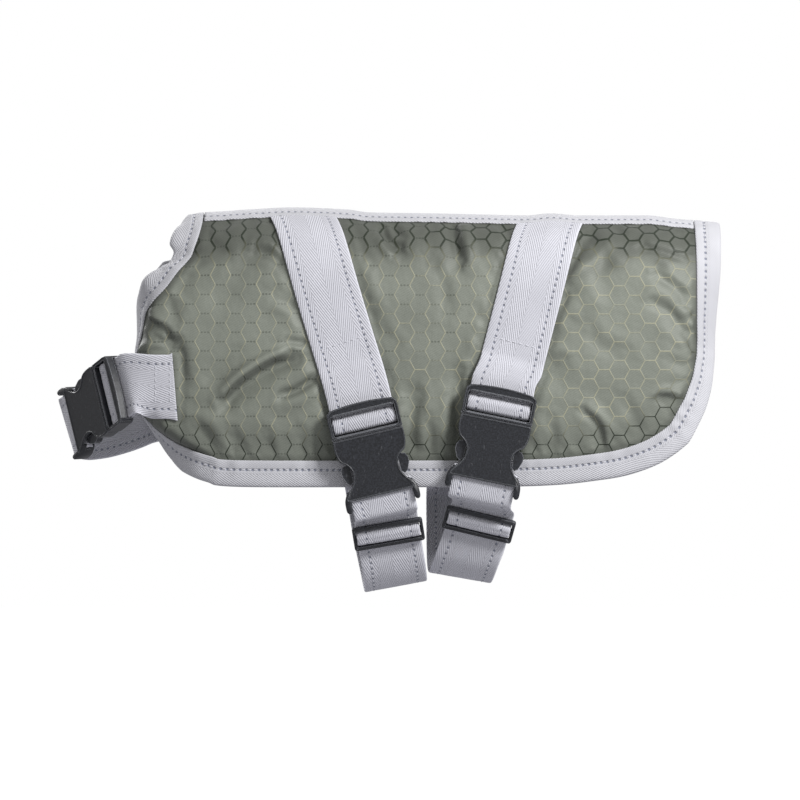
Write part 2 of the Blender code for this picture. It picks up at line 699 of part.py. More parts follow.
def slider_frame(slider):
    """Frame of a slider, leaning in towards the belly."""
    lean, slant, tilt = (radians(slider[key]) for key in ("lean", "slant", "tilt"))
    up = Vector((-sin(lean) * cos(slant), -sin(slant), cos(lean) * cos(slant)))
    across = Vector((cos(tilt), 0, sin(tilt)))
    across = (across - up * across.dot(up)).normalized()
    return frame_matrix(Vector(slider["centre"]), across, up)


def chest_frame():
    """Frame of the chest buckle, turned round the front of the chest."""
    up = Vector(CHEST_ALONG).normalized()
    out = Vector(CHEST_OUT)
    out = (out - up * out.dot(up)).normalized()
    return frame_matrix(Vector(CHEST_BUCKLE), up.cross(out), up)


# ---------------------------------------------------------------- straps

def make_left_strap(key, collection, finish):
    """Left side strap: sewn to the panel, then free and folded round the plug's bar."""
    strap = LEFT_STRAPS[key]
    top, cross = strap_line(strap, "cross")
    length = float(np.linalg.norm(cross - top))
    rows = sewn_rows(top, cross, -1)
    rows.append(laid_row(strap_places(top, cross, length + 8), WEB_WALL + 2 * GAP, -1))
    rows += local_rows(side_frame(strap), PLUG_ROUTE, -1)
    rows.append(laid_row(strap_places(top, cross, length + 6), 0.0, -1)[::-1])
    return make_webbing(f"{key}_strap_left", rows, collection, finish)


def make_right_strap(key, collection, finish):
    """Right side strap: sewn to the panel, down under the belly, through the slider and socket."""
    strap = RIGHT_STRAPS[key]
    top, cross = strap_line(strap, "cross")
    _, low = strap_line(strap, "hem")
    rows = sewn_rows(top, cross, 1)
    for along in FREE_ROWS:
        rows.append(laid_row(strap_places(cross, low, along), FREE_LIFT, 1, over_cloth=False))
    belly, place = BELLY[key], slider_frame(SLIDERS[key])
    route = list(zip(belly["x"], belly["y"], belly["z"]))
    tilts = [Vector((cos(radians(tilt)), 0, sin(radians(tilt)))) for tilt in belly["tilt"]]
    rows += loop_rows(rows[-1], route, tilts, place @ Vector(SLIDER_ENTRY), BELLY_ROWS)
    rows += local_rows(place, SLIDER_ROUTE)
    rows += local_rows(side_frame(LEFT_STRAPS[key]), BELLY_LEAD + SOCKET_ROUTE)
    return make_webbing(f"{key}_strap_right", rows, collection, finish)


def loop_rows(last, route, tilts, entry, count):
    """Webbing in the air from its last row, through a route, to where it enters a slider or buckle."""
    centre = len(ACROSS) // 2
    middle = (last[0][centre] + last[1][centre]) / 2
    curve = spline([tuple(middle), *route, tuple(entry)], count)
    rows = []
    for k in range(1, count):
        run = Vector(curve[min(k + 1, count - 1)] - curve[k - 1])
        part = k / (count - 1) * (len(tilts) - 1)
        low = min(int(part), len(tilts) - 2)
        rows.append(free_row(Vector(curve[k]), tilts[low].lerp(tilts[low + 1], part - low), run))
    return rows


def chest_rows(patch, side):
    """Chest webbing sewn on the front of a side."""
    rows = []
    middle = sum(patch["sewn"]) / 2
    for u in np.linspace(*patch["sewn"], 3):
        z = patch["z"] + patch["slope"] * (u - middle)
        rows.append(laid_row([(u + patch["slope"] * w, girth_at(z - w)) for w in ACROSS], 0.0, side))
    return rows


def make_chest_left(collection, finish):
    """Left chest strap: sewn on the panel and folded round the plug's bar."""
    rows = chest_rows(CHEST_LEFT, -1)
    rows += local_rows(chest_frame(), PLUG_ROUTE, -1)
    return make_webbing("chest_strap_left", rows, collection, finish)


def make_chest_right(collection, finish):
    """Right chest strap: sewn on the panel, round the front and folded round the socket's bar."""
    place = chest_frame()
    rows = chest_rows(CHEST_RIGHT, 1)
    first = (rows[-1][0][-1] - rows[-1][0][0]).normalized()
    route = list(zip(CHEST_LOOP["x"], CHEST_LOOP["y"], CHEST_LOOP["z"]))[::-1]
    level = place.to_3x3() @ Vector((1, 0, 0))
    tilts = [first, level, level]
    rows += loop_rows(rows[-1], route, tilts, place @ Vector(CHEST_ENTRY), CHEST_ROWS)
    rows += local_rows(place, CHEST_LEAD + SOCKET_ROUTE)
    return make_webbing("chest_strap_right", rows, collection, finish)


# ---------------------------------------------------------------- moulded hardware

def plate(name, outlines, low, high, edge, collection):
    """A flat outline with holes, extruded between two heights, with its edges eased."""
    curve = bpy.data.curves.new(name, "CURVE")
    curve.dimensions = "2D"
    curve.fill_mode = "BOTH"
    curve.extrude = (high - low) / 2 * MM
    for outline in outlines:
        line = curve.splines.new("POLY")
        line.points.add(len(outline) - 1)
        line.use_cyclic_u = True
        for point, (x, y) in zip(line.points, outline):
            point.co = (x * MM, y * MM, 0, 1)
    drawn = bpy.data.objects.new(name + "_outline", curve)
    collection.objects.link(drawn)
    bpy.context.view_layer.update()
    mesh = bpy.data.meshes.new_from_object(drawn.evaluated_get(bpy.context.evaluated_depsgraph_get()))
    bpy.data.objects.remove(drawn)
    shape = bmesh.new()
    shape.from_mesh(mesh)
    bmesh.ops.remove_doubles(shape, verts=shape.verts, dist=1e-6)
    bmesh.ops.translate(shape, verts=shape.verts, vec=(0, 0, (low + high) / 2 * MM))
    bmesh.ops.recalc_face_normals(shape, faces=shape.faces)
    shape.to_mesh(mesh)
    shape.free()
    made = bpy.data.objects.new(name, mesh)
    collection.objects.link(made)
    if edge > 0:
        ease_edges = made.modifiers.new("eased edges", "BEVEL")
        ease_edges.width = edge * MM
        ease_edges.segments = 1
        ease_edges.limit_method = "ANGLE"
        ease_edges.angle_limit = radians(50)
    return made


def block(name, low, high, collection):
    """A plain box between two corners."""
    shape = bmesh.new()
    bmesh.ops.create_cube(shape, size=1.0)
    size = Vector(high) - Vector(low)
    bmesh.ops.scale(shape, verts=shape.verts, vec=size * MM)
    bmesh.ops.translate(shape, verts=shape.verts, vec=(Vector(low) + Vector(high)) / 2 * MM)
    mesh = bpy.data.meshes.new(name)
    shape.to_mesh(mesh)
    shape.free()
    made = bpy.data.objects.new(name, mesh)
    collection.objects.link(made)
    return made


def prism(name, profile, half, collection):
    """An outline of (up, out) points, carried across the width."""
    made = plate(name, [profile], -half, half, 0.0, collection)
    made.data.transform(Matrix(((0, 0, 1, 0), (1, 0, 0, 0), (0, 1, 0, 0), (0, 0, 0, 1))))
    return made


def bar(name, half, up, out, radius, collection, sides=10):
    """A round bar across a buckle."""
    shape = bmesh.new()
    turned = Matrix.Translation(Vector((0, up, out)) * MM) @ Matrix.Rotation(pi / 2, 4, "Y")
    bmesh.ops.create_cone(shape, cap_ends=True, segments=sides, radius1=radius * MM, radius2=radius * MM,
                          depth=2 * half * MM, matrix=turned)
    mesh = bpy.data.meshes.new(name)
    shape.to_mesh(mesh)
    shape.free()
    made = bpy.data.objects.new(name, mesh)
    collection.objects.link(made)
    return made


def combine(name, body, joined, cut, collection):
    """Join shapes to a body and cut others out of it; gives the finished mesh."""
    for operation, shapes in (("UNION", joined), ("DIFFERENCE", cut)):
        for shape in shapes:
            step = body.modifiers.new(shape.name, "BOOLEAN")
            step.operation = operation
            step.object = shape
    bpy.context.view_layer.update()
    mesh = bpy.data.meshes.new_from_object(body.evaluated_get(bpy.context.evaluated_depsgraph_get()))
    mesh.name = name
    for shape in (body, *joined, *cut):
        bpy.data.objects.remove(shape)
    clean = bmesh.new()
    clean.from_mesh(mesh)
    bmesh.ops.remove_doubles(clean, verts=clean.verts, dist=1e-6)
    clean.to_mesh(mesh)
    clean.free()
    mesh.shade_smooth()
    mesh.set_sharp_from_angle(angle=radians(35))
    return mesh


def mirrored(half):
    """A closed outline from its right half, listed from top to bottom."""
    return list(half) + [(-x, y) for x, y in reversed(half)]


def plug_mesh(tools):
    """Plug: webbing frame with a bowed top bar, two springy arms with side tabs, and a guide."""
    top = [(x, 1.9 - 1.9 * (x / BUCKLE_HALF) ** 2) for x in np.linspace(0.0, BUCKLE_HALF - 2.4, 7)][1:]
    outer = mirrored(top + [(BUCKLE_HALF - 0.5, -1.2), (BUCKLE_HALF, -3.0), (BUCKLE_HALF, SHOULDER)])
    corner = WINDOW_HALF - 0.3
    window = mirrored([(corner, -3.4), (WINDOW_HALF, -3.7), (WINDOW_HALF, -14.9), (corner, -15.2)])
    frame = plate("plug frame", [outer, window], 0.0, BUCKLE_DEPTH, 0.5, tools)
    (low, high), (back, front) = PLUG_BAR
    web_bar = block("webbing bar", (-WINDOW_HALF - 0.8, low, back), (WINDOW_HALF + 0.8, high, front), tools)
    arm = [(11.0, -16.5), (17.0, -16.5), (17.0, -33.2), (19.0, -33.5), (20.4, -36.0), (20.4, -39.0),
           (18.6, -43.6), (16.6, -45.2), (14.6, -43.5), (14.3, -36.0), (12.6, -30.0)]
    arms = [plate("arm", [[(sign * x, y) for x, y in arm]], 2.7, 6.9, 0.0, tools) for sign in (-1, 1)]
    guide = block("guide", (-3.0, -36.0, 3.0), (3.0, -16.5, 6.6), tools)
    reach = WINDOW_HALF - 0.1
    under = block("under the top bar", (-reach, -4.0, -1.0), (reach, 4.0, TOP_BAR_BACK), tools)
    return combine("plug", frame, [web_bar, *arms, guide], [under], tools)


def socket_mesh(tools):
    """Socket: hollow body with side openings for the tabs, ears and a webbing bar."""
    half = [(BUCKLE_HALF, SOCKET_TOP), (BUCKLE_HALF, -24.0), (20.8, -28.0), (19.4, -31.0), (16.2, -33.0),
            (14.2, -35.8), (13.6, -39.0), (14.4, -43.5), (17.0, -47.6), (20.2, -51.2), (21.6, -54.5),
            (21.6, SOCKET_FOOT)]
    body = plate("socket body", [mirrored(half)], 0.4, BUCKLE_DEPTH + 0.3, 0.8, tools)
    cavity = block("cavity", (-17.5, -46.0, 2.3), (17.5, -16.0, 7.3), tools)
    below = SOCKET_FOOT - 2.0
    throat = prism("throat", [(-46.9, -1.0), (-46.9, 7.7), (SOCKET_END, 7.7), (SOCKET_END, 11.0),
                              (below, 11.0), (below, -1.0)], WINDOW_HALF, tools)
    web_bar = bar("socket bar", WINDOW_HALF + 0.6, SOCKET_BAR, SOCKET_BAR_OUT, 1.5, tools)
    shell = combine("socket shell", body, [], [cavity, throat], tools)
    holder = bpy.data.objects.new("socket holder", shell)
    tools.objects.link(holder)
    return combine("socket", holder, [web_bar], [], tools)


def slider_mesh(tools):
    """Slider: a flat frame with two slots and a bar between them."""
    half_x, half_y = SLIDER_HALF
    near, far = SLIDER_SLOT
    corner_x, corner_y = half_x - 1.6, half_y - 1.6
    outer = mirrored([(corner_x, half_y), (half_x, corner_y), (half_x, -corner_y), (corner_x, -half_y)])
    slots = [mirrored([(WINDOW_HALF, sign * far), (WINDOW_HALF, sign * near)]) for sign in (1, -1)]
    body = plate("slider body", [outer, *slots], -SLIDER_WALL / 2, SLIDER_WALL / 2, 0.45, tools)
    return combine("slider", body, [], [], tools)


def place_hardware(collection, tools, finish):
    """Put a plug and a socket on each strap, and a slider on each belly strap."""
    plug, socket, slider = plug_mesh(tools), socket_mesh(tools), slider_mesh(tools)
    places = {f"{key}_buckle": side_frame(LEFT_STRAPS[key]) for key in LEFT_STRAPS}
    places["chest_buckle"] = chest_frame()
    for name, place in places.items():
        for kind, mesh in (("plug", plug), ("socket", socket)):
            set_down(f"{name}_{kind}", mesh.copy(), place, collection, finish)
    for key, slot in SLIDERS.items():
        set_down(f"{key}_slider", slider.copy(), slider_frame(slot), collection, finish)


def set_down(name, mesh, place, collection, finish):
    """An object of a mesh at a frame given in millimetres."""
    made = add_object(name, mesh, collection, finish)
    placed = place.copy()
    placed.translation = place.translation * MM
    made.matrix_world = placed
    return made


def main():
    for old in list(bpy.data.objects):
        bpy.data.objects.remove(old)
    coat = bpy.data.collections.new("dog_coat")
    tools = bpy.data.collections.new("cutters")
    bpy.context.scene.collection.children.link(coat)
    bpy.context.scene.collection.children.link(tools)

    cloth = material("padded ripstop cloth", (0.21, 0.23, 0.195), 0.6)
    tape = material("edge tape", (0.62, 0.62, 0.66), 0.75)
    webbing = material("webbing", (0.56, 0.56, 0.61), 0.7)
    plastic = material("moulded plastic", (0.028, 0.029, 0.033), 0.45)

    make_panel("side_panel_left", -1, coat, cloth)
    make_panel("side_panel_right", 1, coat, cloth)
    neck, hem, setback = binding_parts()
    make_binding("neck_binding", neck, 0.0, coat, tape)
    make_binding("hem_binding", hem, setback, coat, tape)
    make_back_tape(coat, tape)
    for key in LEFT_STRAPS:
        make_left_strap(key, coat, webbing)
        make_right_strap(key, coat, webbing)
    make_chest_left(coat, webbing)
    make_chest_right(coat, webbing)
    place_hardware(coat, tools, plastic)


main()
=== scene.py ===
"""Dog coat: padded hexagon-ripstop sides, taped edges, herringbone webbing, buckles and sliders.

Lengths in the tables are millimetres in the frame of the solids: x runs from the head end (-) to
the tail end (+), y from the dog's left side (-) to its right side (+), and z upwards.
"""

from math import asin, cos, pi, radians, sin

import bmesh
import bpy
import numpy as np
from bpy.props import FloatProperty, FloatVectorProperty, PointerProperty
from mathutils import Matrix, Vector
from mathutils.kdtree import KDTree


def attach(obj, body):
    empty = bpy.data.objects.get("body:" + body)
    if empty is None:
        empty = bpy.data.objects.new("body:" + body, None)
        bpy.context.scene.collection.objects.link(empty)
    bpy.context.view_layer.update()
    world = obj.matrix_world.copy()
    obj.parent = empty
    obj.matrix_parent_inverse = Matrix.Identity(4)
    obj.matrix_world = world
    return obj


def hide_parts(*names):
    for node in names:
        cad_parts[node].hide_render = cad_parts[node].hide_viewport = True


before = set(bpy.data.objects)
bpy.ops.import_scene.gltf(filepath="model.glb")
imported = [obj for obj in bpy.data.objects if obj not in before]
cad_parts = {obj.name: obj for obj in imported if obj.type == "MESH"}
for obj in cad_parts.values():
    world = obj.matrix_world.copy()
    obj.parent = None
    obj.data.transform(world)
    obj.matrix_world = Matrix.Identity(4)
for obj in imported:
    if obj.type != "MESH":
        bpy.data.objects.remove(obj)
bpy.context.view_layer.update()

bl_info = {
    "name": "Dog coat",
    "version": (1, 0, 0),
    "blender": (4, 5, 0),
    "location": "3D View > Sidebar > Dog coat",
    "description": "Builds the cloth, tape, webbing, stitching and hardware of a padded dog coat",
    "category": "Object",
}

MM = 0.001

# Cloth and tape
GAP = 0.3                 # between pieces that are sewn together
FULL_WALL = 5.0           # padded cloth in the middle of a panel
PRESSED_WALL = 4.2        # padded cloth under a sewn side strap
CHEST_WALL = 3.0          # padded cloth under the sewn end of the chest strap
PRESS_MARGIN = 4.0        # how far past a strap the cloth is still pressed
PRESS_RUN = 8.0           # and from there to full thickness
BACK_WALL = 2.4           # padded cloth at the back seam
BACK_FLAT = 10.0          # how far from the seam it stays so thin
BACK_RUN = 20.0           # and from there to full thickness
SEAM_WALL = 1.4           # layers pressed flat inside the edge tape
PUFF_RUN = 24.0           # from the tape to full thickness
TAPE_WIDTH = 16.0         # how far the edge tape reaches over each face
TAPE_WALL = 1.0
TAPE_ROW = 5.7            # from the edge tape's inner edge to its stitch row
RIM_EASE = 0.2            # each face of the cloth's rim is pressed in this much inside the tape
RIM_HALFWAY = 5.0         # a row of the cloth inside the tape
RIM_SHORT = 6.5           # how far the cloth reaches into the tape where the tape is pinched
EDGE_SOFTENING = 2        # how many times the edge's directions are evened out
BACK_TAPE_HALF = 16.0     # half the solid's back tape
BACK_TAPE_SEWN = 12.0     # half the back tape as its stitching draws it in
BACK_TAPE_WALL = 1.15
BACK_TAPE_ROW = 7.8       # from the back seam to each stitch row
BACK_TAPE_END = 0.5       # from each end of the back tape to the edge tape
BACK_TAPE_STEPS = 224     # rows of the back tape
ROLL_RADIUS = 11.0        # how sharply the front edge rolls in round the chest
REAR_RADIUS = 14.0

# Webbing
WEB_HALF = 19.0
WEB_WALL = 1.4
WEB_STEP = 1.35           # most distance between rows of the visible webbing
SEWN_STEP = 1.3           # about the same, where it is sewn on
PLUG_LEAD = 8.0           # from the cross stitch to the strap's first free row above the plug
PLUG_TAIL = 6.0           # from the cross stitch to the strap's end, folded back behind it
CHEST_PRESS = 4.0         # how far past the sewn end of a chest strap the cloth is pressed
FREE_LIFT = 6.2           # webbing that hangs free down the side, from the panel's inner face
BUCKLE_LIFT = 5.7         # back of a belly buckle, from the panel's inner face

# Buckles, seen from the front: across, up the strap, and outwards from the back face
BUCKLE_HALF = 21.4
BUCKLE_DEPTH = 9.0
BUCKLE_PROBE = 50.0       # how far down the side a belly buckle's direction is read
OUTLINE_STEP = 0.9        # between points of a fitting's outline
SOCKET_TOP = -17.5
SOCKET_BAR = -50.5
SOCKET_BAR_OUT = 4.0

SLIDER_HALF = (21.2, 8.0)  # half the width and height of a slider

PANEL_CELLS = (30, 18)    # cells of the solid's sides
CROWD = 1.35              # cells are smaller near the back and the neck
FINE_CELLS = (264, 150)   # cells of the visible sides


def table(columns, rows):
    """One array for each named column."""
    return dict(zip(columns.split(), (np.array(column, float) for column in zip(*rows))))


# How one side of the coat falls from the back seam: distance round the girth, slope in degrees
SECTION = table("girth slope", [
    (0, 0), (4, 20), (16, 37), (24, 48), (32, 60), (40, 69), (50, 79),
    (70, 86), (110, 87), (140, 90), (165, 93), (215, 95)])

# The line of the back: its rise, and how wide the coat is there
BACK = table("x rise width", [
    (-190, 2.4, 1.04), (-157, 2.4, 1.04), (-134, 2.4, 1.05), (-120, 3.0, 1.06), (-95, 4.2, 1.05),
    (-62, 3.0, 1.02), (-48, 1.2, 1.01), (-10, 0.6, 1.0), (17, 0.0, 1.0), (46, -0.6, 1.0),
    (60, 0.6, 1.0), (78, -0.6, 1.0), (118, -0.6, 0.98), (132, -1.8, 0.97), (154, -2.8, 0.95),
    (165, -3.6, 0.94)])

# The cloth's neck and chest edge: where it lies in the side view, how far it rolls inwards,
# and how much of the tape's width stands out there (the neck puckers at the side of the throat)
FRONT = table("z cloth turn reach", [
    (4.0, -147, 6, 1.0), (-4, -147.6, 12, 1.0), (-12, -149.4, 18, 1.0), (-18, -151.6, 28, 1.0),
    (-23, -153.5, 38, 0.8), (-27.5, -157, 34, 0.8), (-32, -161, 24, 1.0), (-42, -168.6, 26, 1.0),
    (-49, -175.4, 46, 1.0), (-55, -179.4, 72, 1.0), (-70, -182.4, 84, 1.0), (-80, -185, 90, 1.0),
    (-100, -186.3, 94, 1.0), (-115, -182, 94, 1.0), (-124, -174.6, 92, 1.0), (-131, -165.6, 86, 1.0),
    (-137, -155, 74, 1.0), (-142, -147, 62, 1.0), (-150, -142, 46, 1.0), (-160, -137, 28, 1.0)])

# The cloth's tail edge
REAR = table("z cloth turn", [
    (4.0, 146.0, 4), (-20, 146.0, 16), (-50, 145.6, 34), (-76, 145.5, 50), (-91, 143.5, 42),
    (-105, 139, 26), (-114, 134.5, 14), (-123, 129.5, 8), (-146, 100, 0)])

# The cloth's lower edge, from the front corner to the rear corner
HEM = table("x z", [
    (-160.6, -133.4), (-152.6, -137.4), (-141.6, -141), (-128, -143.3), (-60, -143.6), (20, -143.4),
    (60, -142.4), (86, -139.6), (101, -137), (115, -132.2), (124, -127), (129.5, -122.5)])

# The largest creases of each side: ends in the side view, height (troughs are below 0), width
LEFT_FOLDS = table("x0 z0 x1 z1 height width", [
    (-134, -110, -96, -83, -2.2, 7), (-132, -121, -88, -96, 1.2, 8), (-100, -104, -82, -95, -1.3, 5),
    (-165, -76, -158, -108, -1.6, 8), (-178, -52, -166, -75, -1.2, 5), (-36, -2, -30, -22, -1.6, 6),
    (1, -4, 3, -30, -1.5, 5), (84, -12, 92, -28, -1.5, 5), (78, -34, 86, -50, 1.2, 6),
    (124, -32, 142, -52, -1.4, 5), (126, -50, 144, -72, -1.3, 6), (131, -104, 124, -114, -1.4, 6),
    (92, -118, 84, -132, -1.3, 6), (-24, -104, -26, -134, -1.6, 7), (4, -95, 6, -138, -1.8, 7),
    (-120, -30, -138, -48, -1.0, 7), (44, -72, 64, -96, -1.1, 8)])

RIGHT_FOLDS = table("x0 z0 x1 z1 height width", [
    (-140, -98, -100, -80, -2.0, 7), (-136, -112, -104, -100, 1.2, 8), (-166, -82, -156, -112, -1.5, 8),
    (-175, -55, -162, -72, -1.2, 5), (-30, -6, -28, -30, -1.5, 6), (8, -8, 4, -34, -1.4, 5),
    (84, -12, 92, -34, -1.6, 6), (78, -40, 90, -52, 1.1, 6), (118, -40, 140, -58, -1.4, 5),
    (122, -70, 142, -86, -1.3, 6), (120, -98, 108, -120, -1.5, 6), (-8, -100, -14, -132, -1.6, 7),
    (66, -84, 74, -124, -1.4, 7), (-112, -34, -134, -56, -1.0, 7)])

# Straps on the sides: centre at the back tape, at the cross stitch, and where each buckle starts
LEFT_STRAPS = {
    "front": {"top": -86.5, "cross": (-60.6, -84.6), "buckle": (-53.4, -110.7), "lean": 13.4},
    "rear": {"top": 58.5, "cross": (37.5, -81.9), "buckle": (30.6, -102.6), "lean": -11.8},
}
RIGHT_STRAPS = {
    "front": {"top": -86.5, "cross": (-60.6, -84.6), "hem": (-44.5, -158)},
    "rear": {"top": 58.5, "cross": (33.0, -82.0), "hem": (4.8, -154)},
}

# Belly webbing, from the right hem round to the left buckle: centre line, tilt across the width
BELLY = {
    "front": table("x y z tilt", [
        (-43, 42.0, -168, 12), (-39.5, 33.5, -188, 11), (-35, 19, -209, 10.5), (-33, 6.5, -218.2, 10.5),
        (-32.5, -5, -217.6, 10.5), (-33.6, -16, -208, 10.8)]),
    "rear": table("x y z tilt", [
        (4.9, 42.0, -164, -16), (4.8, 33.5, -183, -12), (5.0, 19, -204.5, -10.5), (5.6, 6.5, -213, -10),
        (6.8, -5, -212.2, -10), (10.2, -16, -202.6, -10)]),
}
SLIDERS = {
    "front": {"centre": (-36.9, -29.5, -187.5), "tilt": 11.3, "lean": 9.0, "slant": 33.0},
    "rear": {"centre": (17.0, -29.5, -181.8), "tilt": -9.9, "lean": -15.0, "slant": 33.0},
}

# Chest strap: sewn ends on the two sides, and the buckle between them
CHEST_LEFT = {"sewn": (-162.0, -174.5), "z": -100.0, "slope": 0.0}
CHEST_RIGHT = {"sewn": (-148.0, -161.0), "z": -108.5, "slope": 0.22}
CHEST_BUCKLE = (-193.0, -31.0, -100.2)
CHEST_ALONG = (0.5, -0.781, 0.368)
CHEST_OUT = (-0.83, -0.556, -0.044)
CHEST_LOOP = table("x y z", [
    (-227.6, 26, -125.4), (-222.5, 36.5, -126.4), (-210, 43.5, -124.8), (-196, 46, -120.6),
    (-184, 45, -115.6)])

# Rows of the lofted webbing, and how far down a right strap its free rows lie
BELLY_ROWS = 17
CHEST_ROWS = 14
FREE_ROWS = (14.0, 28.0, 44.0, 60.0, 74.0)

# Stitch lines across the webbing: how far each reaches from its middle, and where it lies
CROSS_HALF = 15.0
CROSS_BACK = 3.0          # from the cross stitch to the end of a side strap's sewn part
CHEST_CROSS_HALF = 13.0
CHEST_CROSSES = (3.0, 11.5)  # from the cut end of a chest strap

# Soft boxes of the studio: name, the setting of its power, and its place in metres
SOFT_BOXES = (("soft box", "key", (0.74, -0.80, 0.56)), ("back soft box", "fill", (-0.75, 0.85, 0.45)))
LIGHT_AIM = (0, 0, -0.1)
WHITE = (1.0, 1.0, 1.0, 1.0)


# ---------------------------------------------------------------- settings

def length_setting(name, description, default):
    """A length, kept in metres."""
    return FloatProperty(name=name, description=description, default=default, min=0.0, subtype="DISTANCE",
                         unit="LENGTH", precision=5)


def colour_setting(name, description, default):
    """A colour."""
    return FloatVectorProperty(name=name, description=description, default=default, size=3, min=0.0,
                               max=1.0, subtype="COLOR")


def share_setting(name, description, default, top=1.0):
    """A plain number from 0 upwards."""
    return FloatProperty(name=name, description=description, default=default, min=0.0, max=top,
                         subtype="FACTOR" if top == 1.0 else "NONE")


class ClothSettings(bpy.types.PropertyGroup):
    """Padded ripstop of the two sides"""
    column: length_setting("Column pitch", "Between neighbouring columns of hexagons", 0.00912)
    row: length_setting("Row pitch", "Between neighbouring hexagons of a column", 0.01104)
    line: length_setting("Line width", "Width of the yarn that draws the hexagons", 0.00078)
    creases: share_setting("Creases", "Depth of the hand-placed creases", 1.0, 3.0)
    puckers: share_setting("Puckers", "Depth of the puckers along tape and straps", 1.0, 3.0)
    colour: colour_setting("Colour", "Ground of the outer cloth", (0.224, 0.240, 0.203))
    pale: colour_setting("Pale yarn", "Hexagon yarn where it catches the light", (0.40, 0.39, 0.27))
    dark: colour_setting("Dark yarn", "Hexagon yarn where it lies in shade", (0.020, 0.028, 0.016))
    lining: colour_setting("Lining", "Plain lining on the inside", (0.070, 0.080, 0.066))
    sheen: share_setting("Sheen", "Soft sheen of the coated cloth", 0.18)


class TapeSettings(bpy.types.PropertyGroup):
    """Edge tape and back tape"""
    colour: colour_setting("Colour", "Light grey tape", (0.66, 0.66, 0.70))
    rib: length_setting("Rib pitch", "Between the ribs of the tape's weave", 0.0012)
    pitch: length_setting("Stitch pitch", "Between the stitches of the edge tape", 0.0037)
    back_pitch: length_setting("Back stitch pitch", "Between the stitches of the back tape", 0.00387)
    ripple: length_setting("Ripple", "How much the stitched tape ripples", 0.00035)


class WebbingSettings(bpy.types.PropertyGroup):
    """Herringbone webbing"""
    colour: colour_setting("Colour", "Mid grey webbing", (0.69, 0.69, 0.75))
    lane: length_setting("Lane width", "Width of one lane of the herringbone", 0.0095)
    rib: length_setting("Rib pitch", "Between the ribs of the herringbone", 0.00125)
    pitch: length_setting("Stitch pitch", "Between the stitches of the two rows", 0.0038)
    row: length_setting("Row place", "From the middle of the webbing to each stitch row", 0.0133)


class ThreadSettings(bpy.types.PropertyGroup):
    """Sewing thread"""
    radius: length_setting("Radius", "Half the thickness of the thread", 0.00036)
    share: share_setting("Length", "Length of a stitch as a share of its pitch", 0.74)
    colour: colour_setting("Colour", "Pale grey thread", (0.66, 0.66, 0.71))


class PlasticSettings(bpy.types.PropertyGroup):
    """Moulded buckles and sliders"""
    colour: colour_setting("Colour", "Black plastic", (0.018, 0.0195, 0.0245))
    roughness: share_setting("Roughness", "Roughness of the moulded faces", 0.33)
    edge: length_setting("Eased edge", "Width of the eased edges", 0.00035)


class StageSettings(bpy.types.PropertyGroup):
    """Floor, light and camera"""
    lens: FloatProperty(name="Lens", description="Focal length of the camera", default=300.0,
                        subtype="DISTANCE_CAMERA", unit="CAMERA")
    distance: length_setting("Distance", "From the camera to the coat", 4.0)
    aim: FloatVectorProperty(name="Aim", description="Point in the middle of the view",
                             default=(-0.030, 0.0, -0.1077), subtype="TRANSLATION", unit="LENGTH")
    floor: FloatProperty(name="Floor", description="Height of the floor", default=-0.42, subtype="DISTANCE",
                         unit="LENGTH")
    sky: share_setting("Sky", "Strength of the even studio light", 0.46, 5.0)
    key: share_setting("Key", "Power of the soft box at the front right", 14.5, 200.0)
    fill: share_setting("Fill", "Power of the soft box behind the coat", 8.0, 200.0)
    box: length_setting("Soft box", "Width of the soft box", 0.36)


class CoatSettings(bpy.types.PropertyGroup):
    """Settings of the dog coat"""
    cloth: PointerProperty(type=ClothSettings, name="Cloth", description="Padded sides")
    tape: PointerProperty(type=TapeSettings, name="Tape", description="Edge tape and back tape")
    webbing: PointerProperty(type=WebbingSettings, name="Webbing", description="Belly and chest straps")
    thread: PointerProperty(type=ThreadSettings, name="Thread", description="Stitching")
    plastic: PointerProperty(type=PlasticSettings, name="Plastic", description="Buckles and sliders")
    stage: PointerProperty(type=StageSettings, name="Stage", description="Floor, light and camera")


# ---------------------------------------------------------------- curves through the tables

def smooth(position, knots, values):
    """A curve through a table's points that never swings past them."""
    position = np.clip(position, knots[0], knots[-1])
    gaps = np.diff(knots)
    rises = np.diff(values) / gaps
    before, after = rises[:-1], rises[1:]
    total = np.where(before + after == 0, 1, before + after)
    inner = np.where(before * after > 0, 2 * before * after / total, 0)
    slopes = np.concatenate(([rises[0]], inner, [rises[-1]]))
    cell = np.clip(np.searchsorted(knots, position) - 1, 0, len(gaps) - 1)
    t = (position - knots[cell]) / gaps[cell]
    start = values[cell] * (1 + 2 * t) * (1 - t) ** 2 + gaps[cell] * slopes[cell] * t * (1 - t) ** 2
    end = values[cell + 1] * t * t * (3 - 2 * t) - gaps[cell] * slopes[cell + 1] * t * t * (1 - t)
    return start + end


def ease(t):
    """0 to 1 with soft ends."""
    t = np.clip(t, 0.0, 1.0)
    return t * t * (3 - 2 * t)


def unit(vectors):
    """Vectors at length 1."""
    vectors = np.asarray(vectors, float)
    return vectors / np.linalg.norm(vectors, axis=-1, keepdims=True)


def run_lengths(points):
    """Distance along a line of points."""
    return np.concatenate(([0], np.cumsum(np.linalg.norm(np.diff(points, axis=0), axis=1))))


def between(wanted, knots, rows):
    """Rows of numbers read off between knots."""
    rows = np.asarray(rows, float)
    flat = rows.reshape(len(rows), -1)
    read = np.stack([np.interp(wanted, knots, column) for column in flat.T], axis=1)
    return read.reshape((len(read),) + rows.shape[1:])


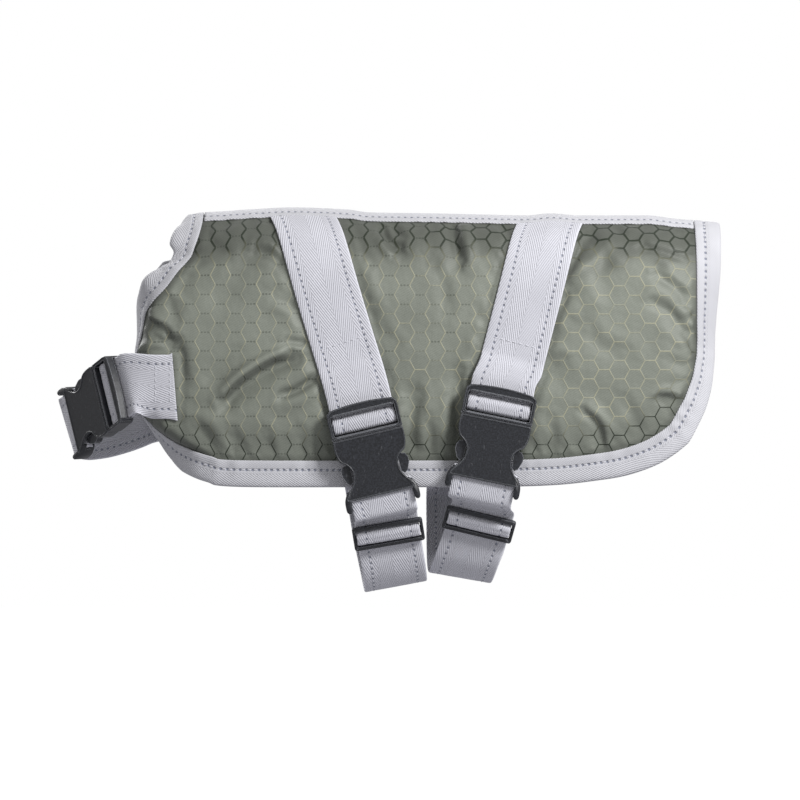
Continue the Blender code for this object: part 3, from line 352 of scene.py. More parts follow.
def spline(points, count):
    """A smooth curve of `count` points through control points, evenly spaced."""
    points = np.array(points, float)
    padded = np.vstack((2 * points[0] - points[1], points, 2 * points[-1] - points[-2]))
    dense = []
    for a, b, c, d in zip(padded, padded[1:], padded[2:], padded[3:]):
        for t in np.linspace(0, 1, 24, endpoint=False):
            dense.append(0.5 * (2 * b + (c - a) * t + (2 * a - 5 * b + 4 * c - d) * t ** 2
                                + (3 * b - a - 3 * c + d) * t ** 3))
    dense = np.array(dense + [points[-1]])
    steps = run_lengths(dense)
    return between(np.linspace(0, steps[-1], count), steps, dense)


GIRTH = np.linspace(0, SECTION["girth"][-1], 431)
SLOPE = np.radians(smooth(GIRTH, SECTION["girth"], SECTION["slope"]))
STEP = GIRTH[1]
HALF_WIDTH = np.concatenate(([0], np.cumsum(STEP * np.cos((SLOPE[1:] + SLOPE[:-1]) / 2))))
DROP = np.concatenate(([0], np.cumsum(STEP * np.sin((SLOPE[1:] + SLOPE[:-1]) / 2))))


def girth_at(z):
    """How far round the girth a height in the side view lies."""
    return np.interp(-np.asarray(z, float), DROP, GIRTH)


# ---------------------------------------------------------------- the side of the coat

def edge_roll(s, end):
    """Where an end of the side starts to roll in, how far it turns, and its radius."""
    rows = FRONT if end < 0 else REAR
    radius = ROLL_RADIUS if end < 0 else REAR_RADIUS
    drop = np.interp(s, GIRTH, DROP)
    cloth = smooth(drop, -rows["z"], rows["cloth"])
    turn = np.radians(smooth(drop, -rows["z"], rows["turn"]))
    return cloth - end * radius * np.sin(np.minimum(turn, pi / 2)), turn, radius


def flat_x(x, s):
    """The flat place along the back of a point seen at x in the side view."""
    for end in (-1, 1):
        start, turn, radius = edge_roll(s, end)
        over = end * (x - start)
        if over > 0:
            angle = asin(min(over / radius, 1.0))
            if angle <= turn:
                return start + end * radius * angle
            rest = (over - radius * sin(turn)) / max(cos(turn), 0.2)
            return start + end * (radius * turn + rest)
    return x


def side_points(u, s, lift, side=-1):
    """Points of a side: u along the back, s round the girth, lift outwards from the inner face."""
    u, s, lift = np.broadcast_arrays(np.asarray(u, float), s, lift)
    x, inward, tip = u, np.zeros(u.shape), np.zeros(u.shape)
    for end in (-1, 1):
        start, turn, radius = edge_roll(s, end)
        over = end * (u - start)
        angle = np.minimum(np.maximum(over, 0) / radius, turn)
        rest = np.maximum(over, 0) - radius * angle
        x = np.where(over > 0, start + end * (radius * np.sin(angle) + rest * np.cos(angle)), x)
        inward = np.where(over > 0, radius * (1 - np.cos(angle)) + rest * np.sin(angle), inward)
        tip = np.where(over > 0, end * angle, tip)
    slope = np.interp(s, GIRTH, SLOPE)
    half = np.interp(s, GIRTH, HALF_WIDTH) * smooth(x, BACK["x"], BACK["width"])
    rise = smooth(x, BACK["x"], BACK["rise"]) * np.exp(-(s / 45) ** 2)
    out = np.cos(tip) * lift - inward
    y = half + out * np.sin(slope)
    z = rise - np.interp(s, GIRTH, DROP) + out * np.cos(slope)
    return np.stack((x + np.sin(tip) * lift, side * y, z), axis=-1)


def cloth_outline():
    """The cloth's edge on the flat: down the front, along the hem and up the rear."""
    lines = []
    for corner, end in ((HEM["z"][0], -1), (HEM["z"][-1], 1)):
        s = np.linspace(0.5 * GAP, girth_at(corner), 60)
        start, turn, radius = edge_roll(s, end)
        lines.append(np.stack((start + end * radius * turn, s), axis=1))
    hem = np.array([(flat_x(x, girth_at(z)), girth_at(z)) for x, z in zip(HEM["x"], HEM["z"])])
    hem[0], hem[-1] = lines[0][-1], lines[1][-1]
    return lines[0], hem, lines[1]


FRONT_LINE, HEM_LINE, REAR_LINE = cloth_outline()


def side_grid(cells):
    """Flat places of a side's cells, blended from its four edges."""
    along, around = cells
    a = np.linspace(0, 1, along + 1)[:, None, None]
    shares = np.linspace(0, 1, around + 1) ** CROWD
    b = shares[None, :, None]
    top = np.linspace((FRONT_LINE[0][0], 0.5 * GAP), (REAR_LINE[0][0], 0.5 * GAP), along + 1)
    low = spline(HEM_LINE, along + 1)
    front, rear = (between(shares * run_lengths(line)[-1], run_lengths(line), line)
                   for line in (FRONT_LINE, REAR_LINE))
    corners = (1 - a) * ((1 - b) * top[0] + b * low[0]) + a * ((1 - b) * top[-1] + b * low[-1])
    return (1 - b) * top[:, None] + b * low[:, None] + (1 - a) * front[None] + a * rear[None] - corners


def edge_line(grid):
    """The side's free edge on the flat: down the front, along the hem, up the rear."""
    return np.concatenate((grid[0], grid[1:, -1], grid[-1, -2::-1]))


def softened(vectors):
    """Unit vectors evened out along the edge, with the two at the back seam kept in its plane."""
    for _ in range(EDGE_SOFTENING):
        vectors[1:-1] = (vectors[:-2] + 2 * vectors[1:-1] + vectors[2:]) / 4
    vectors[[0, -1], 1] = 0.0
    return unit(vectors)


def edge_frames():
    """Left side: directions out of the cloth and off its face, at the stations of the solid."""
    u, s = edge_line(side_grid(PANEL_CELLS)).T
    places = side_points(u, s, 0.0)
    normals = softened(side_points(u, s, 1.0) - places)
    runs = np.gradient(places, axis=0)
    runs[0], runs[-1] = (0, -1, 0), (0, 1, 0)
    outs = softened(np.cross(runs, normals) / np.linalg.norm(runs, axis=1)[:, None])
    return outs, unit(normals - outs * np.sum(outs * normals, axis=1)[:, None])


GRID = side_grid(FINE_CELLS)
EDGE = edge_line(GRID)
EDGE_STATION = np.concatenate([
    np.linspace(0, PANEL_CELLS[1], FINE_CELLS[1] + 1),
    PANEL_CELLS[1] + np.linspace(0, PANEL_CELLS[0], FINE_CELLS[0] + 1)[1:],
    sum(PANEL_CELLS) + np.linspace(0, PANEL_CELLS[1], FINE_CELLS[1] + 1)[1:]])
EDGE_PLACES = side_points(*EDGE.T, 0.0)
EDGE_OUTS, EDGE_NORMALS = (unit(between(EDGE_STATION, np.arange(len(rows)), rows))
                           for rows in edge_frames())
EDGE_DROP = np.interp(EDGE[:, 1], GIRTH, DROP)
EDGE_REACH = np.where(EDGE[:, 0] < 0, smooth(EDGE_DROP, -FRONT["z"], FRONT["reach"]), 1.0)
EDGE_RUN = run_lengths(EDGE)


def edge_points(reach, lift, side=-1, stations=None):
    """Points of the edge strip: reach out of the cloth, lift from its inner face."""
    spots = EDGE_PLACES + EDGE_OUTS * (reach * EDGE_REACH)[:, None] + EDGE_NORMALS * lift
    if stations is not None:
        spots = between(stations, np.arange(len(spots)), spots)
    return spots * (1, -side, 1)


def edge_finder():
    """Search tree of the cloth's edge on the flat."""
    tree = KDTree(len(EDGE))
    for k, (u, s) in enumerate(EDGE):
        tree.insert((u, s, 0.0), k)
    tree.balance()
    return tree


EDGE_TREE = edge_finder()


def edge_distance(u, s):
    """How far flat places are from the cloth's edge, and how far along the edge that is."""
    found = [EDGE_TREE.find((a, b, 0.0)) for a, b in zip(np.ravel(u), np.ravel(s))]
    away = np.array([item[2] for item in found]).reshape(np.shape(u))
    along = EDGE_RUN[np.array([item[1] for item in found])].reshape(np.shape(u))
    return away, along


# ---------------------------------------------------------------- padding and creases

def strap_line(strap, low):
    """Flat start and end of a strap's centre line on a side, from the edge of the sewn back tape."""
    x, z = strap[low]
    start, end = np.array((strap["top"], BACK_TAPE_HALF + GAP)), np.array((x, float(girth_at(z))))
    return start + (end - start) * (BACK_TAPE_SEWN - BACK_TAPE_HALF) / (end[1] - start[1]), end


def crease_height(u, s, creases):
    """Height of a table of creases at flat places; a trough throws up a low ridge beside it."""
    total = np.zeros(np.shape(u))
    for x0, z0, x1, z1, height, width in zip(*creases.values()):
        a = np.array((x0, girth_at(z0)))
        run = np.array((x1, girth_at(z1))) - a
        long = np.hypot(*run)
        along = ((u - a[0]) * run[0] + (s - a[1]) * run[1]) / long
        across = ((u - a[0]) * run[1] - (s - a[1]) * run[0]) / long / width
        beyond = np.maximum(np.maximum(-along, along - long), 0) / width
        shape = np.exp(-across ** 2) - 0.38 * np.exp(-((across - 1.5) / 0.8) ** 2)
        total += height * shape * np.exp(-beyond ** 2)
    return total


def strap_zones(side):
    """Stretches of sewn webbing on a side: start and end of the centre line, and the cloth's wall."""
    zones = []
    for strap in (LEFT_STRAPS if side < 0 else RIGHT_STRAPS).values():
        zones.append((*strap_line(strap, "buckle" if side < 0 else "cross"), PRESSED_WALL))
    patch = CHEST_LEFT if side < 0 else CHEST_RIGHT
    s = girth_at(patch["z"])
    zones.append((np.array((patch["sewn"][0], s)), np.array((patch["sewn"][1] - CHEST_PRESS, s)), CHEST_WALL))
    return zones


def zone_distance(u, s, zone):
    """How far flat places are from a strap's edge, and how far along it they are."""
    start, end, _ = zone
    long = np.hypot(*(end - start))
    run = (end - start) / long
    along = (u - start[0]) * run[0] + (s - start[1]) * run[1]
    across = np.abs((u - start[0]) * run[1] - (s - start[1]) * run[0]) - WEB_HALF
    beyond = np.maximum(np.maximum(-along, along - long), 0.0)
    return np.hypot(np.maximum(across, 0.0), beyond), along


def padding(u, s, side, away, run=PRESS_RUN, margin=PRESS_MARGIN):
    """Thickness of the padded cloth at flat places that are `away` from its edge."""
    thick = np.full(np.shape(u), FULL_WALL) + crease_height(u, s, LEFT_FOLDS if side < 0 else RIGHT_FOLDS)
    for zone in strap_zones(side):
        gap, _ = zone_distance(u, s, zone)
        thick = zone[2] + (thick - zone[2]) * ease((gap - margin) / run)
    thick = BACK_WALL + (thick - BACK_WALL) * ease((s - BACK_FLAT) / BACK_RUN)
    return SEAM_WALL + (thick - SEAM_WALL) * ease(away / PUFF_RUN)


def uneven(along, pitch, seed):
    """A wave along a seam, uneven in spacing and height."""
    phase = along / pitch + 0.32 * np.sin(along / 17.0 + seed) + 0.21 * np.sin(along / 7.3 + 2 * seed)
    height = 0.55 + 0.30 * np.sin(along / 23.0 + 3 * seed) + 0.25 * np.sin(along / 9.1 + 5 * seed)
    return height * np.sin(2 * pi * phase)


# Creases of the left side's outer cloth: height (troughs are below 0), width, and points in the
# side view
CREASES = (
    (0.9, 5.4, ((-126, -86), (-112, -73), (-99, -67), (-86, -66))),
    (-1.8, 3.2, ((-134, -111), (-127, -102), (-118, -95), (-106, -88), (-92, -83))),
    (4.2, 4.2, ((-138, -108), (-131, -99), (-121, -91), (-108, -83), (-95, -79))),
    (-1.6, 2.2, ((-97, -73), (-90, -74), (-83, -73))),
    (0.8, 5.0, ((-122, -112), (-107, -99), (-92, -92), (-82, -89))),
    (-2.4, 2.6, ((-100, -105), (-91, -102), (-80, -95))),
    (1.2, 3.4, ((-101, -112), (-88, -108), (-77, -102))),
    (-1, 4.6, ((-148, -100), (-140, -91), (-128, -81))),
    (1.8, 3.6, ((-116, -18), (-108, -20), (-97, -26))),
    (-2, 3, ((-115, -23), (-106, -25), (-98, -31))),
    (-1.4, 2.4, ((-107, -4), (-104, -10), (-99, -19))),
    (-1.2, 4.2, ((-103, -46), (-96, -51), (-89, -57))),
    (1, 3.4, ((-107, -51), (-97, -57), (-91, -63))),
    (-0.9, 3, ((-148, -7), (-143, -16), (-133, -24))),
    (-0.8, 5, ((-152, -25), (-160, -38), (-161, -51))),
    (-3.2, 2.6, ((-182, -50), (-180, -58), (-174, -68))),
    (-2.2, 2.0, ((-176, -62), (-170, -66), (-166, -74))),
    (1.4, 2.4, ((-178, -48), (-175, -56), (-170, -63))),
    (-1.6, 2.4, ((-175, -72), (-169, -74), (-163, -72))),
    (-1.2, 2.6, ((-172, -43), (-167, -51), (-163, -61))),
    (-1.1, 3.6, ((-164, -75), (-161, -85), (-158, -99))),
    (-1, 3, ((-179, -79), (-173, -79), (-168, -78))),
    (0.9, 2.6, ((-164, -45), (-158, -50), (-156, -58))),
    (-1.2, 3.4, ((-152, -122), (-145, -129), (-142, -139))),
    (1, 3.4, ((-144, -118), (-137, -127), (-133, -138))),
    (-1, 3.2, ((-130, -126), (-126, -134), (-125, -142))),
    (-1.2, 3.4, ((-110, -128), (-108, -136), (-107, -145))),
    (-1.1, 3.2, ((-90, -126), (-88, -135), (-88, -145))),
    (-3, 2.6, ((-41, -8), (-38, -14), (-31, -19))),
    (1.7, 2.8, ((-44, -14), (-40, -20), (-34, -25))),
    (-1.4, 2.6, ((-35, -4), (-32, -10), (-29, -14))),
    (-1, 3.4, ((-59, -4), (-55, -15), (-50, -28))),
    (0.9, 3.8, ((-53, -25), (-47, -39), (-43, -51))),
    (-1.1, 4.6, ((-49, -52), (-42, -66), (-35, -75))),
    (-1.3, 3.8, ((-20, -105), (-23, -122), (-24, -147))),
    (1.3, 3.6, ((-29, -110), (-31, -127), (-32, -146))),
    (-1.2, 3, ((-14, -118), (-12, -132), (-13, -146))),
    (-1.5, 3.2, ((5, -91), (4, -110), (5, -129), (6, -145))),
    (1.1, 3.4, ((-2, -105), (-4, -122), (-2, -141))),
    (-2.2, 2.8, ((1, -2), (2, -12), (6, -26))),
    (1.3, 3.2, ((8, -3), (10, -14), (13, -25))),
    (-1, 4.2, ((-12, -28), (-5, -39), (-2, -55))),
    (-1.3, 3.4, ((28, 3), (32, -6), (40, -15))),
    (0.9, 4.4, ((16, -66), (12, -79), (8, -91))),
    (-1, 5, ((26, -31), (22, -45), (13, -57))),
    (-2.4, 3.6, ((64, -32), (70, -25), (78, -21), (82, -10))),
    (1.6, 3.8, ((67, -39), (76, -31), (86, -26), (91, -16))),
    (-1.7, 3.4, ((55, -70), (59, -58), (66, -50), (71, -43))),
    (1.1, 4, ((64, -69), (68, -58), (78, -51))),
    (-1.2, 3, ((70, -1), (74, -9), (76, -18))),
    (-1.4, 3.6, ((52, -98), (58, -90), (66, -85))),
    (-1.2, 5.2, ((80, -66), (90, -76), (103, -81))),
    (-1.8, 2.2, ((78, -114), (85, -120), (89, -127), (89, -139))),
    (1.4, 3.2, ((84, -112), (92, -120), (97, -132))),
    (-1.1, 3.2, ((59, -120), (61, -129), (60, -142))),
    (-1, 3.6, ((103, -108), (109, -118), (114, -132))),
    (-1.2, 2.8, ((123, -35), (133, -40), (143, -50), (148, -58))),
    (0.8, 3.2, ((120, -43), (131, -48), (140, -58), (146, -67))),
    (-1.1, 2.8, ((119, -50), (130, -55), (139, -67), (145, -76))),
    (0.6, 3, ((126, -66), (136, -73), (143, -84))),
    (-0.8, 2.8, ((130, -84), (138, -88), (145, -91))),
    (-2.8, 2.4, ((124, -107), (130, -108), (137, -112))),
    (1.8, 2.2, ((127, -102), (133, -103), (139, -106))),
    (-1.4, 2.2, ((131, -113), (133, -118), (133, -123))),
    (-1.2, 2.8, ((114, -19), (126, -21), (143, -25))),
    (-1, 3, ((97, -3), (103, -12), (114, -16))),
    (-0.9, 2.6, ((136, -7), (140, -14), (146, -18))),
)


def shifted(creases):
    """The right side's creases: like the left's, each moved, turned and made deeper or shallower."""
    moved = []
    for number, (height, width, points) in enumerate(creases):
        dx, dz, turn = 5 * sin(2.1 * number), 4 * cos(1.7 * number), 0.2 * sin(3.3 * number)
        (x0, z0), scale = points[0], 0.85 + 0.25 * sin(1.3 * number)
        moved.append((height * scale, width * (1.1 - 0.15 * cos(number)), [
            (x0 + dx + (x - x0) * cos(turn) - (z - z0) * sin(turn),
             min(z0 + dz + (x - x0) * sin(turn) + (z - z0) * cos(turn), -3)) for x, z in points]))
    return moved


RIDGE_BESIDE = 0.3        # height of the ridge beside a trough, as a share of its depth


def path_height(u, s, crease):
    """Height of one bent crease at flat places; a trough throws up a low ridge beside it."""
    height, width, points = crease
    line = spline([(flat_x(x, float(girth_at(z))), float(girth_at(z))) for x, z in points], 9)
    best, side = np.full(np.shape(u), 1e9), np.zeros(np.shape(u))
    for a, b in zip(line, line[1:]):
        run = b - a
        t = np.clip(((u - a[0]) * run[0] + (s - a[1]) * run[1]) / run.dot(run), 0, 1)
        away = np.hypot(u - a[0] - t * run[0], s - a[1] - t * run[1])
        near = away < best
        best = np.where(near, away, best)
        side = np.where(near, np.sign((u - a[0]) * run[1] - (s - a[1]) * run[0]), side)
    end = np.minimum(*(np.hypot(u - tip[0], s - tip[1]) for tip in (line[0], line[-1])))
    gap = best * side / width
    shape = np.exp(-gap ** 2)
    if height < 0:
        shape -= RIDGE_BESIDE * np.exp(-((gap - 1.7) / 0.9) ** 2)
    return height * shape * ease(0.35 + end / (2.5 * width))


def cloth_relief(u, s, side, away, along, settings):
    """Small creases, puckers along the seams and the padding's gentle unevenness."""
    small = sum(path_height(u, s, path) for path in (CREASES if side < 0 else shifted(CREASES)))
    small *= settings.creases
    seed = 0.7 if side < 0 else 2.9
    wave = 0.42 * np.sin(u / 8.7 + 1.3 * np.sin(s / 13.0) + seed)
    wave *= np.sin(s / 7.9 + 0.9 * np.sin(u / 19.0))
    wave += 0.30 * np.sin(u / 5.1 - s / 11.0 + 2 * seed) * np.sin(s / 6.3 + u / 23.0)
    skew = along + 0.35 * away
    pucker = 0.62 * uneven(skew, 11.5, seed) * np.exp(-((away - 4.0) / 7.5) ** 2)
    pucker += 0.22 * uneven(skew, 6.1, seed + 1) * np.exp(-((away - 2.5) / 4.0) ** 2)
    calm = np.ones(np.shape(u))
    for k, zone in enumerate(strap_zones(side)):
        gap, run = zone_distance(u, s, zone)
        ripple = uneven(run + 0.5 * gap, 13.0, seed + k + 2)
        pucker += 0.42 * ripple * np.exp(-((gap - 4.0) / 5.0) ** 2)
        pucker -= 0.45 * np.exp(-((gap - 1.0) / 2.4) ** 2)
        calm *= ease((gap - 0.2) / 3.2)
    beside = s - BACK_TAPE_SEWN
    back = ease((beside + 1.0) / 6.0)
    pucker += 0.40 * uneven(u + 0.3 * s, 14.0, seed + 6) * np.exp(-((beside - 6.0) / 6.0) ** 2)
    relief = small + 0.5 * wave + settings.puckers * pucker
    return relief * calm * back * ease((away - 0.3) / 3.5)


# ---------------------------------------------------------------- meshes

def grid_faces(rows, columns, first=0):
    """Four-sided faces of a grid of points."""
    index = first + np.arange(rows * columns).reshape(rows, columns)
    corners = (index[:-1, :-1], index[1:, :-1], index[1:, 1:], index[:-1, 1:])
    return np.stack([corner.ravel() for corner in corners], axis=1)


def new_piece(name, points, faces, places=None, turn_out=True):
    """An object of a smooth mesh; points in millimetres, and their places on the flat cloth."""
    mesh = bpy.data.meshes.new(name)
    mesh.from_pydata((np.asarray(points) * MM).tolist(), [], [list(face) for face in faces])
    if places is not None:
        kept = mesh.attributes.new("flat", "FLOAT_VECTOR", "POINT")
        kept.data.foreach_set("vector", np.asarray(places, np.float32).ravel())
    if turn_out:
        shape = bmesh.new()
        shape.from_mesh(mesh)
        bmesh.ops.recalc_face_normals(shape, faces=shape.faces)
        shape.to_mesh(mesh)
        shape.free()
    mesh.shade_smooth()
    piece = bpy.data.objects.new(name, mesh)
    bpy.context.scene.collection.objects.link(piece)
    return piece


def finish_piece(piece, finish, slot, *nodes):
    """Give a piece its finish and its place in the frame, and hide the solids that it stands for."""
    piece.data.materials.append(finishes()[finish])
    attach(piece, "root")
    if nodes:
        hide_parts(*nodes)


def ring_faces(rings, count):
    """Faces of a body through rings of points, closed at both ends."""
    base = np.arange(rings - 1)[:, None] * count
    k = np.arange(count)[None]
    after = (k + 1) % count
    sides = np.stack((base + k, base + after, base + count + after, base + count + k), axis=-1)
    last = (rings - 1) * count
    ends = [list(range(count)), list(range(last + count - 1, last - 1, -1))]
    return sides.reshape(-1, 4).tolist() + ends


def lofted(name, rings, places):
    """A closed body through rings of points."""
    return new_piece(name, rings.reshape(-1, 3), ring_faces(*rings.shape[:2]), places.reshape(-1, 3))


def mirrored(half):
    """A table of half a section, from its middle outwards, carried to both halves."""
    return (np.concatenate((sign * half[key][:0:-1], half[key]))
            for key, sign in (("across", -1), ("rise", 1)))


def flat_places(rings, across, run, face):
    """Places on the flat piece of rings of points: across it, along it, and which face."""
    shape = rings.shape[:2]
    return np.stack([np.broadcast_to(part, shape) for part in (across, run[:, None], face)], axis=-1)


# ---------------------------------------------------------------- padded sides

def make_side(name, side, settings):
    """One padded side: creased outer cloth, plain lining, and the rim inside the tape."""
    u, s = GRID[..., 0], GRID[..., 1]
    away, along = edge_distance(u, s)
    relief = cloth_relief(u, s, side, away, along, settings)
    thick = padding(u, s, side, away, run=6.0, margin=0.5) + relief
    thick = np.maximum(thick, SEAM_WALL * 0.9)
    lining = 0.35 * np.sin(u / 12.0 + s / 17.0) * np.sin(s / 9.0) * ease(away / 12.0)
    outer, inner = side_points(u, s, thick, side), side_points(u, s, lining, side)
    rows = [outer.reshape(-1, 3), inner.reshape(-1, 3)]
    places = [np.stack((u, s, np.ones(u.shape)), axis=-1).reshape(-1, 3),
              np.stack((u, s, np.zeros(u.shape)), axis=-1).reshape(-1, 3)]
    near = edge_points(TAPE_WIDTH / 2, 0.0, side)
    gaps = np.min([np.hypot(near[:, 0] - x, near[:, 2] - z)
                   for x, z in zip(NECK_PUCKERS["x"], NECK_PUCKERS["z"])], axis=0)
    full = TAPE_WIDTH - TAPE_WALL - 2 * GAP
    fold = RIM_SHORT + (full - RIM_SHORT) * ease((gaps - 8.0) / 8.0)
    for lift in (SEAM_WALL - RIM_EASE, RIM_EASE):
        for reach in (RIM_HALFWAY, fold):
            rows.append(edge_points(reach, lift, side))
            places.append(np.column_stack((EDGE, np.full(len(EDGE), lift > 1))))
    edge_count = len(EDGE)
    index = np.arange(u.size).reshape(u.shape)
    loop = edge_line(index)
    rim = [2 * u.size + k * edge_count + np.arange(edge_count) for k in range(4)]

    def strip(a, b):
        return np.stack((a[:-1], a[1:], b[1:], b[:-1]), axis=1)

    seam = np.concatenate(([rim[1][0], rim[0][0]], index[:, 0], [rim[0][-1], rim[1][-1]]))
    under = np.concatenate(([rim[3][0], rim[2][0]], index[:, 0] + u.size, [rim[2][-1], rim[3][-1]]))
    faces = np.concatenate((
        grid_faces(*u.shape), strip(loop, rim[0]), strip(rim[0], rim[1]), strip(rim[1], rim[3]),
        grid_faces(*u.shape, u.size)[:, ::-1], strip(loop + u.size, rim[2])[:, ::-1],
        strip(rim[2], rim[3])[:, ::-1], strip(under, seam)))
    if side < 0:
        faces = faces[:, ::-1]
    piece = new_piece(name, np.concatenate(rows), faces, np.concatenate(places), turn_out=False)
    kept = piece.data.attributes.new("rim", "FLOAT", "POINT")
    gaps = np.concatenate((away.ravel(), away.ravel(), np.zeros(4 * edge_count)))
    kept.data.foreach_set("value", gaps.astype(np.float32))
    return piece


# ---------------------------------------------------------------- tapes

def tape_section():
    """Section of the edge tape as (reach, lift), rounded, with a dimple along its stitch row."""
    top = SEAM_WALL + GAP
    face = [(0.0, 0.35), (0.15, 0.75), (0.7, 0.98), (2.4, 1.06), (4.4, 1.0), (TAPE_ROW, 0.78),
            (7.0, 1.0), (9.5, 1.2), (12.5, 1.25), (14.6, 0.98), (15.6, 0.35)]
    outer = [(reach, top + rise * TAPE_WALL) for reach, rise in face]
    inner = [(reach, -GAP - rise * TAPE_WALL) for reach, rise in face[::-1]]
    fold = TAPE_WIDTH - TAPE_WALL - GAP
    return np.array(outer + [(TAPE_WIDTH, 0.5 * SEAM_WALL)] + inner
                    + [(0.0, -GAP), (fold, -GAP), (fold, top), (0.0, top)]), len(face)


def tape_chain(chosen, setback):
    """Stations and sides of one length of edge tape, over both sides of the coat."""
    chosen = np.array(chosen, float)
    chosen[0] += setback
    return (chosen, -1), (chosen[::-1], 1)


def chain_points(chain, reach, lift):
    """Points along a tape at one place of its section."""
    return np.concatenate([edge_points(reach, lift, side, stations) for stations, side in chain])


def chain_normals(chain):
    """Directions off the cloth's outer face along a tape."""
    return np.concatenate([between(stations, np.arange(len(EDGE)), EDGE_NORMALS) * (1, -side, 1)
                           for stations, side in chain])


# Where the neck tape puckers at the side of the throat: middle, how far round it reaches, the move,
# and the side (0 is both)
NECK_PUCKERS = table("x z spread dx dy dz sides", [
    (-160.5, -26.5, 4.2, 4.5, 5.0, -3.2, 0), (-164.5, -12.0, 7.5, -2.2, -0.8, 0.6, 0),
    (-171.5, -26.0, 6.5, 1.6, 0.5, -3.4, -1), (-180.0, -36.0, 6.5, -1.6, -1.0, 0.4, 0),
    (-163.5, 2.0, 5.0, 2.4, 0.0, -2.6, 0)])


def puckered(spots, reach, sides):
    """Points of the neck tape, its fold pushed in and out where it puckers."""
    share = ease((reach - 6.8) / 6.5)
    moved = spots.copy()
    for x, z, spread, dx, dy, dz, only in zip(*NECK_PUCKERS.values()):
        near = share * np.exp(-((spots[:, 0] - x) ** 2 + (spots[:, 2] - z) ** 2) / spread ** 2)
        near *= (sides == only) | (only == 0)
        moved += near[:, None] * np.stack(np.broadcast_arrays(dx, -sides * dy, dz), axis=1)
    return moved


def make_edge_tape(name, chain, settings):
    """One length of edge tape folded over the cloth, carried across the back."""
    section, count = tape_section()
    run, offs = run_lengths(chain_points(chain, TAPE_ROW, 0.0)), chain_normals(chain)
    middle = len(chain[0][0])
    sides = np.repeat([side for _, side in chain], middle)
    ripple = settings.ripple / MM * uneven(run, 13.0, 1.7 + middle)
    rings = []
    for k, (reach, lift) in enumerate(section):
        share = np.exp(-((reach - 3.0) / 6.0) ** 2) if k < 2 * count + 1 else 0.0
        spots = chain_points(chain, reach, lift)
        if name == "neck_tape":
            spots = puckered(spots, reach, sides)
        rings.append(spots + offs * ((1 if k < count else -1) * share * ripple)[:, None])
    rings = np.stack(rings, axis=1)
    rings[middle - 1, :, 1] = rings[middle, :, 1] = 0.0
    rings, run = np.delete(rings, middle, axis=0), np.delete(run, middle)
    face = np.sign(count - 0.5 - np.arange(len(section)))
    face[count] = 0.0
    return lofted(name, rings, flat_places(rings, section[:, 0], run, face)), run


def edge_tape_parts():
    """The two lengths of edge tape, neck and hem; they meet under the chest strap."""
    down_front = edge_line(side_grid(PANEL_CELLS))[:PANEL_CELLS[1], 1]
    split = int(np.argmin(np.abs(down_front - girth_at(CHEST_LEFT["z"]))))
    split = round(split * FINE_CELLS[1] / PANEL_CELLS[1])
    step = np.linalg.norm(EDGE_PLACES[split + 1] - EDGE_PLACES[split])
    return tape_chain(range(split, -1, -1), 0.0), tape_chain(range(split, len(EDGE)), GAP / step)


# Half the back tape's section: across from the seam, and its height as a share of its wall
BACK_TAPE_SHAPE = table("across rise", [
    (0.0, 1.0), (2.1, 1.0), (4.2, 1.0), (6.2, 1.0), (BACK_TAPE_ROW, 0.74), (9.3, 1.0),
    (10.9, 0.958), (11.7, 0.7), (12.0, 0.4)])


def back_tape_face(u, s, lift):
    """Points of the back tape on both sides of the back."""
    spots = side_points(u, np.abs(s), lift)
    return np.where((s > 0)[..., None], spots * (1, -1, 1), spots)


def make_back_tape(settings):
    """Tape over the back seam, dimpled along its stitch rows: the object, the rows, its length."""
    u = np.linspace(FRONT_LINE[0][0] + BACK_TAPE_END, REAR_LINE[0][0] - BACK_TAPE_END,
                    BACK_TAPE_STEPS)
    across, rise = mirrored(BACK_TAPE_SHAPE)
    uu, ss = np.meshgrid(u, across, indexing="ij")
    beside = np.abs(ss)
    away, _ = edge_distance(uu, beside)
    wave = settings.ripple / MM * uneven(uu + 0.25 * beside, 12.0, 0.4)
    wave = 0.8 * wave * np.exp(-((beside - BACK_TAPE_SEWN + 1.2) / 3.2) ** 2)
    base = padding(uu, beside, -1, away) + 0.15 + np.maximum(wave, -0.1)
    low, top = (back_tape_face(uu, ss, base + share * BACK_TAPE_WALL) for share in (0.0, rise))
    rings = np.concatenate((low, top[:, ::-1]), axis=1)
    flat = np.stack((ss, uu, np.ones(uu.shape)), axis=-1)
    places = np.concatenate((flat * (1, 1, -1), flat[:, ::-1]), axis=1)
    sewn = np.flatnonzero(np.abs(across) == BACK_TAPE_ROW)
    lines = [(top[:, k], unit(top[:, k] - low[:, k]), u) for k in sewn]
    return lofted("back_tape", rings, places), lines, u[-1] - u[0]


# ---------------------------------------------------------------- webbing

# Half the webbing's section: across from its middle, and its height as a share of its wall
ACROSS, WEB_SHAPE = mirrored(table("across rise", [
    (0.0, 1.04), (3.6, 1.04), (7.2, 1.04), (10.8, 1.0), (13.3, 0.84), (15.8, 1.0), (17.9, 0.92),
    (18.75, 0.55)]))
STITCHED = (3, 11)        # the columns that carry the stitch rows
LIP = 0.25                # how far the webbing's edge stands out beyond its faces
CLEAR = 0.3               # between a sewn strap and the cloth


def arc_route(centre, radius, start, end, count):
    """Points round a bar, as (up, out) in its own frame."""
    angles = np.radians(np.linspace(start, end, count))
    return [(centre[0] + radius * cos(a), centre[1] + radius * sin(a)) for a in angles]


# Webbing into the plug: under the top bar, over the webbing bar, round it and back up behind
PLUG_ROUTE = ([(6.0, 2.8), (1.0, 3.0), (-3.0, 3.15), (-4.9, 4.3), (-6.3, 5.8), (-7.7, 6.75),
               (-11.2, 6.75)] + arc_route((-11.4, 4.15), 2.6, 125, 250, 4)
              + [(-11.0, 1.55), (-7.0, 1.2), (-2.0, 0.95), (5.0, 0.9)])

